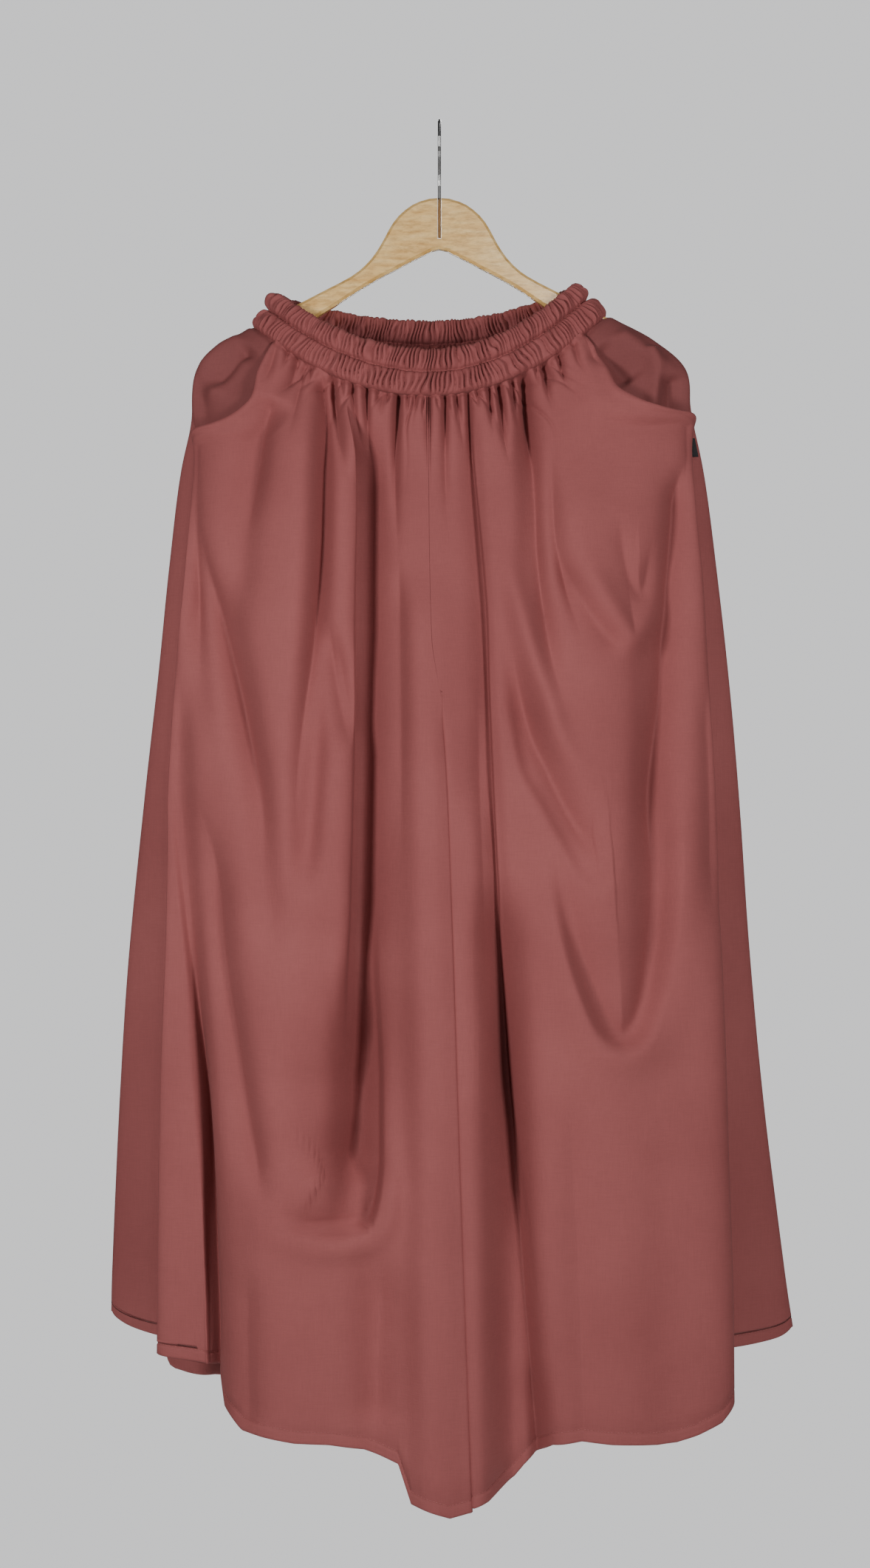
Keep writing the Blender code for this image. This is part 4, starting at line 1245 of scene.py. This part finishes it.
def cloth_material(name, painted_shade_tone):
    """Matt woven cloth: fine weave, slight slubs and faint colour drift. A tone below 1 darkens it all as
    painted shade.
    """
    material, tree, shader = node_tree(name)
    drift = noise_layer(tree, (1.0, 1.0, 1.0), 4.0, 0.55, scale=7.0)
    weave = add_node(tree, "ShaderNodeMath", operation="ADD")
    for socket, stretch in enumerate(((900.0, 900.0, 60.0), (90.0, 90.0, 1100.0))):
        tree.links.new(noise_layer(tree, stretch, 3.0, 0.6), weave.inputs[socket])
    fine = add_node(tree, "ShaderNodeMapRange", From_Min=0.6, From_Max=1.4, To_Min=0.93, To_Max=1.07)
    tree.links.new(weave.outputs["Value"], fine.inputs["Value"])
    stops = [(place, [value * painted_shade_tone for value in colour]) for place, colour in CLOTH_COLOURS]
    colour = blend_layer(tree, 1.0, ramp_layer(tree, drift, stops), fine.outputs["Result"])
    tree.links.new(colour, shader.inputs["Base Color"])
    bump_layer(tree, shader, weave.outputs["Value"], 0.25, 0.0006)
    set_inputs(shader, Roughness=0.80, Specular_IOR_Level=0.28)
    set_inputs(shader, Sheen_Weight=0.05, Sheen_Roughness=0.45, Sheen_Tint=(0.85, 0.55, 0.52, 1))
    return material


def wood_material():
    """Pale wood with fine mottled grain under a clear varnish."""
    material, tree, shader = node_tree("pale_varnished_wood")
    grain = noise_layer(tree, (28.0, 140.0, 190.0), 6.0, 0.6)
    mottle = noise_layer(tree, (95.0, 300.0, 330.0), 5.0, 0.65)
    pores = noise_layer(tree, (260.0, 900.0, 1500.0), 2.0, 0.5)
    woods = ((0.30, (0.74, 0.42, 0.12)), (0.52, (0.88, 0.56, 0.20)), (0.70, (0.95, 0.66, 0.29)))
    flecks = ramp_layer(tree, mottle, ((0.36, (0.72, 0.66, 0.58)), (0.56, (1.0, 1.0, 1.0))))
    fine = ramp_layer(tree, pores, ((0.28, (0.80, 0.75, 0.70)), (0.45, (1.0, 1.0, 1.0))))
    colour = blend_layer(tree, 0.85, ramp_layer(tree, grain, woods), flecks)
    colour = blend_layer(tree, 0.7, colour, fine)
    tree.links.new(colour, shader.inputs["Base Color"])
    bump_layer(tree, shader, mottle, 0.12, 0.0006)
    set_inputs(shader, Roughness=0.42, Coat_Weight=0.9, Coat_Roughness=0.16)
    return material


def steel_material():
    """Plain drawn steel wire with fine marks along it."""
    colours = ((0.43, 0.43, 0.43), (0.66, 0.65, 0.64))
    settings = {"bump": (0.10, 0.0002), "Metallic": 1.0, "Roughness": 0.30}
    return grained_material("brushed_steel", (1400.0, 1400.0, 130.0), (3.0, 0.6), colours, **settings)


def tape_material():
    """Black woven tape with fine ribs across it."""
    colours = ((0.006, 0.006, 0.007), (0.022, 0.021, 0.023))
    settings = {"bump": (0.3, 0.0003), "Roughness": 0.8}
    return grained_material("black_tape", (300.0, 300.0, 2600.0), (2.0, 0.5), colours, **settings)


def thread_material():
    """Sewing thread in the cloth's colour, mottled and a little glossier."""
    colours = ((0.27, 0.075, 0.070), (0.42, 0.135, 0.125))
    stretch = (2400.0, 2400.0, 2400.0)
    return grained_material("matching_thread", stretch, (2.0, 0.5), colours, Roughness=0.55)


def floor_material():
    colours = ((0.74, 0.74, 0.73), (0.80, 0.80, 0.79))
    return grained_material("pale_floor", (40.0, 40.0, 40.0), (4.0, 0.6), colours, Roughness=0.9)


def finish_node(name, material):
    """Gives a solid that stays as it is its finer material."""
    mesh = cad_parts[name].data
    if not mesh.materials:
        mesh.materials.append(material)
    for slot in range(len(mesh.materials)):
        mesh.materials[slot] = material


# The camera looks along +Y, level, and frames the garment as the photograph does
CAMERA_PLACE = (-0.004, -2.6, -0.606)
CAMERA_LENS = 65.15


def make_camera():
    data = bpy.data.cameras.new("camera")
    data.lens = CAMERA_LENS
    data.sensor_width = 36.0
    camera = bpy.data.objects.new("camera", data)
    camera.location = CAMERA_PLACE
    camera.rotation_euler = (math.pi / 2, 0, 0)
    bpy.context.scene.collection.objects.link(camera)
    bpy.context.scene.camera = camera


def area_light(name, place, target, size, power):
    data = bpy.data.lights.new(name, "AREA")
    data.shape = "RECTANGLE"
    data.size, data.size_y = size
    data.energy = power
    light = bpy.data.objects.new(name, data)
    light.location = place
    direction = Vector(target) - Vector(place)
    light.rotation_euler = direction.to_track_quat("-Z", "Y").to_euler()
    light.visible_camera = False
    bpy.context.scene.collection.objects.link(light)


WORLD_SEEN = (0.90, 0.90, 0.91, 1)
WORLD_GLOW = (0.055, 0.056, 0.058, 1)
MIDDLE = (0, 0, -0.65)
# Each light's name, place, target, size and power
LIGHTS = (
    ("left key", (-0.88, -1.32, -0.44), MIDDLE, (0.30, 0.40), 16.0),
    ("right key", (0.84, -1.38, -0.42), MIDDLE, (0.30, 0.40), 13.2),
    ("top", (0.5, -0.5, 1.5), (0.05, 0, -0.1), (0.7, 0.5), 5),
    ("glare", (0.36, -2.5, 0.34), (0.1, 0, -0.16), (0.25, 0.25), 5),
    ("rear", (0.2, 3.0, 0.4), MIDDLE, (1.4, 1.4), 95),
)
FLOOR_HALF, FLOOR_HEIGHT = 1.4, -1.72


def make_world():
    """A pale backdrop that is seen brighter than it lights."""
    world = bpy.data.worlds.new("studio")
    world.use_nodes = True
    tree = world.node_tree
    seen = tree.nodes["Background"]
    set_inputs(seen, Color=WORLD_SEEN)
    glow = add_node(tree, "ShaderNodeBackground", Color=WORLD_GLOW)
    path = tree.nodes.new("ShaderNodeLightPath")
    mix = tree.nodes.new("ShaderNodeMixShader")
    tree.links.new(path.outputs["Is Camera Ray"], mix.inputs["Fac"])
    tree.links.new(glow.outputs["Background"], mix.inputs[1])
    tree.links.new(seen.outputs["Background"], mix.inputs[2])
    tree.links.new(mix.outputs["Shader"], tree.nodes["World Output"].inputs["Surface"])
    bpy.context.scene.world = world


def make_studio():
    make_world()
    for light in LIGHTS:
        area_light(*light)
    ends = (-FLOOR_HALF, FLOOR_HALF)
    floor = grid_mesh("floor", np.array([[(x, y, FLOOR_HEIGHT) for x in ends] for y in ends]))
    floor.materials.append(floor_material())
    ground = bpy.data.objects.new("floor", floor)
    bpy.context.scene.collection.objects.link(ground)


# What shows of each cut, laid flat: estimated width and length, and area
Cut = namedtuple("Cut", "width length area")


def make_garment():
    fabric = cloth_material("marsala_cloth", 1.0)
    # The facing gets a darker copy of the cloth: painted shade.
    painted_shade_cloth = cloth_material("marsala_cloth_painted_shade", FACING_PAINTED_SHADE)
    thread = thread_material()
    for face in (FRONT, BACK):
        piece, outer = waistband(face, fabric)
        stitches = band_stitches(face, outer, thread)
    for side in (LEFT, RIGHT):
        for face in (FRONT, BACK):
            piece, points = leg_panel(side, face, fabric)
            stitches = hem_stitches(side, face, points, thread)
        facing = pocket_facing(side, painted_shade_cloth)
    side_tab(tape_material())


def main():
    make_camera()
    make_studio()
    make_garment()
    finish_node("hanger_body", wood_material())
    finish_node("hanger_hook", steel_material())


main()
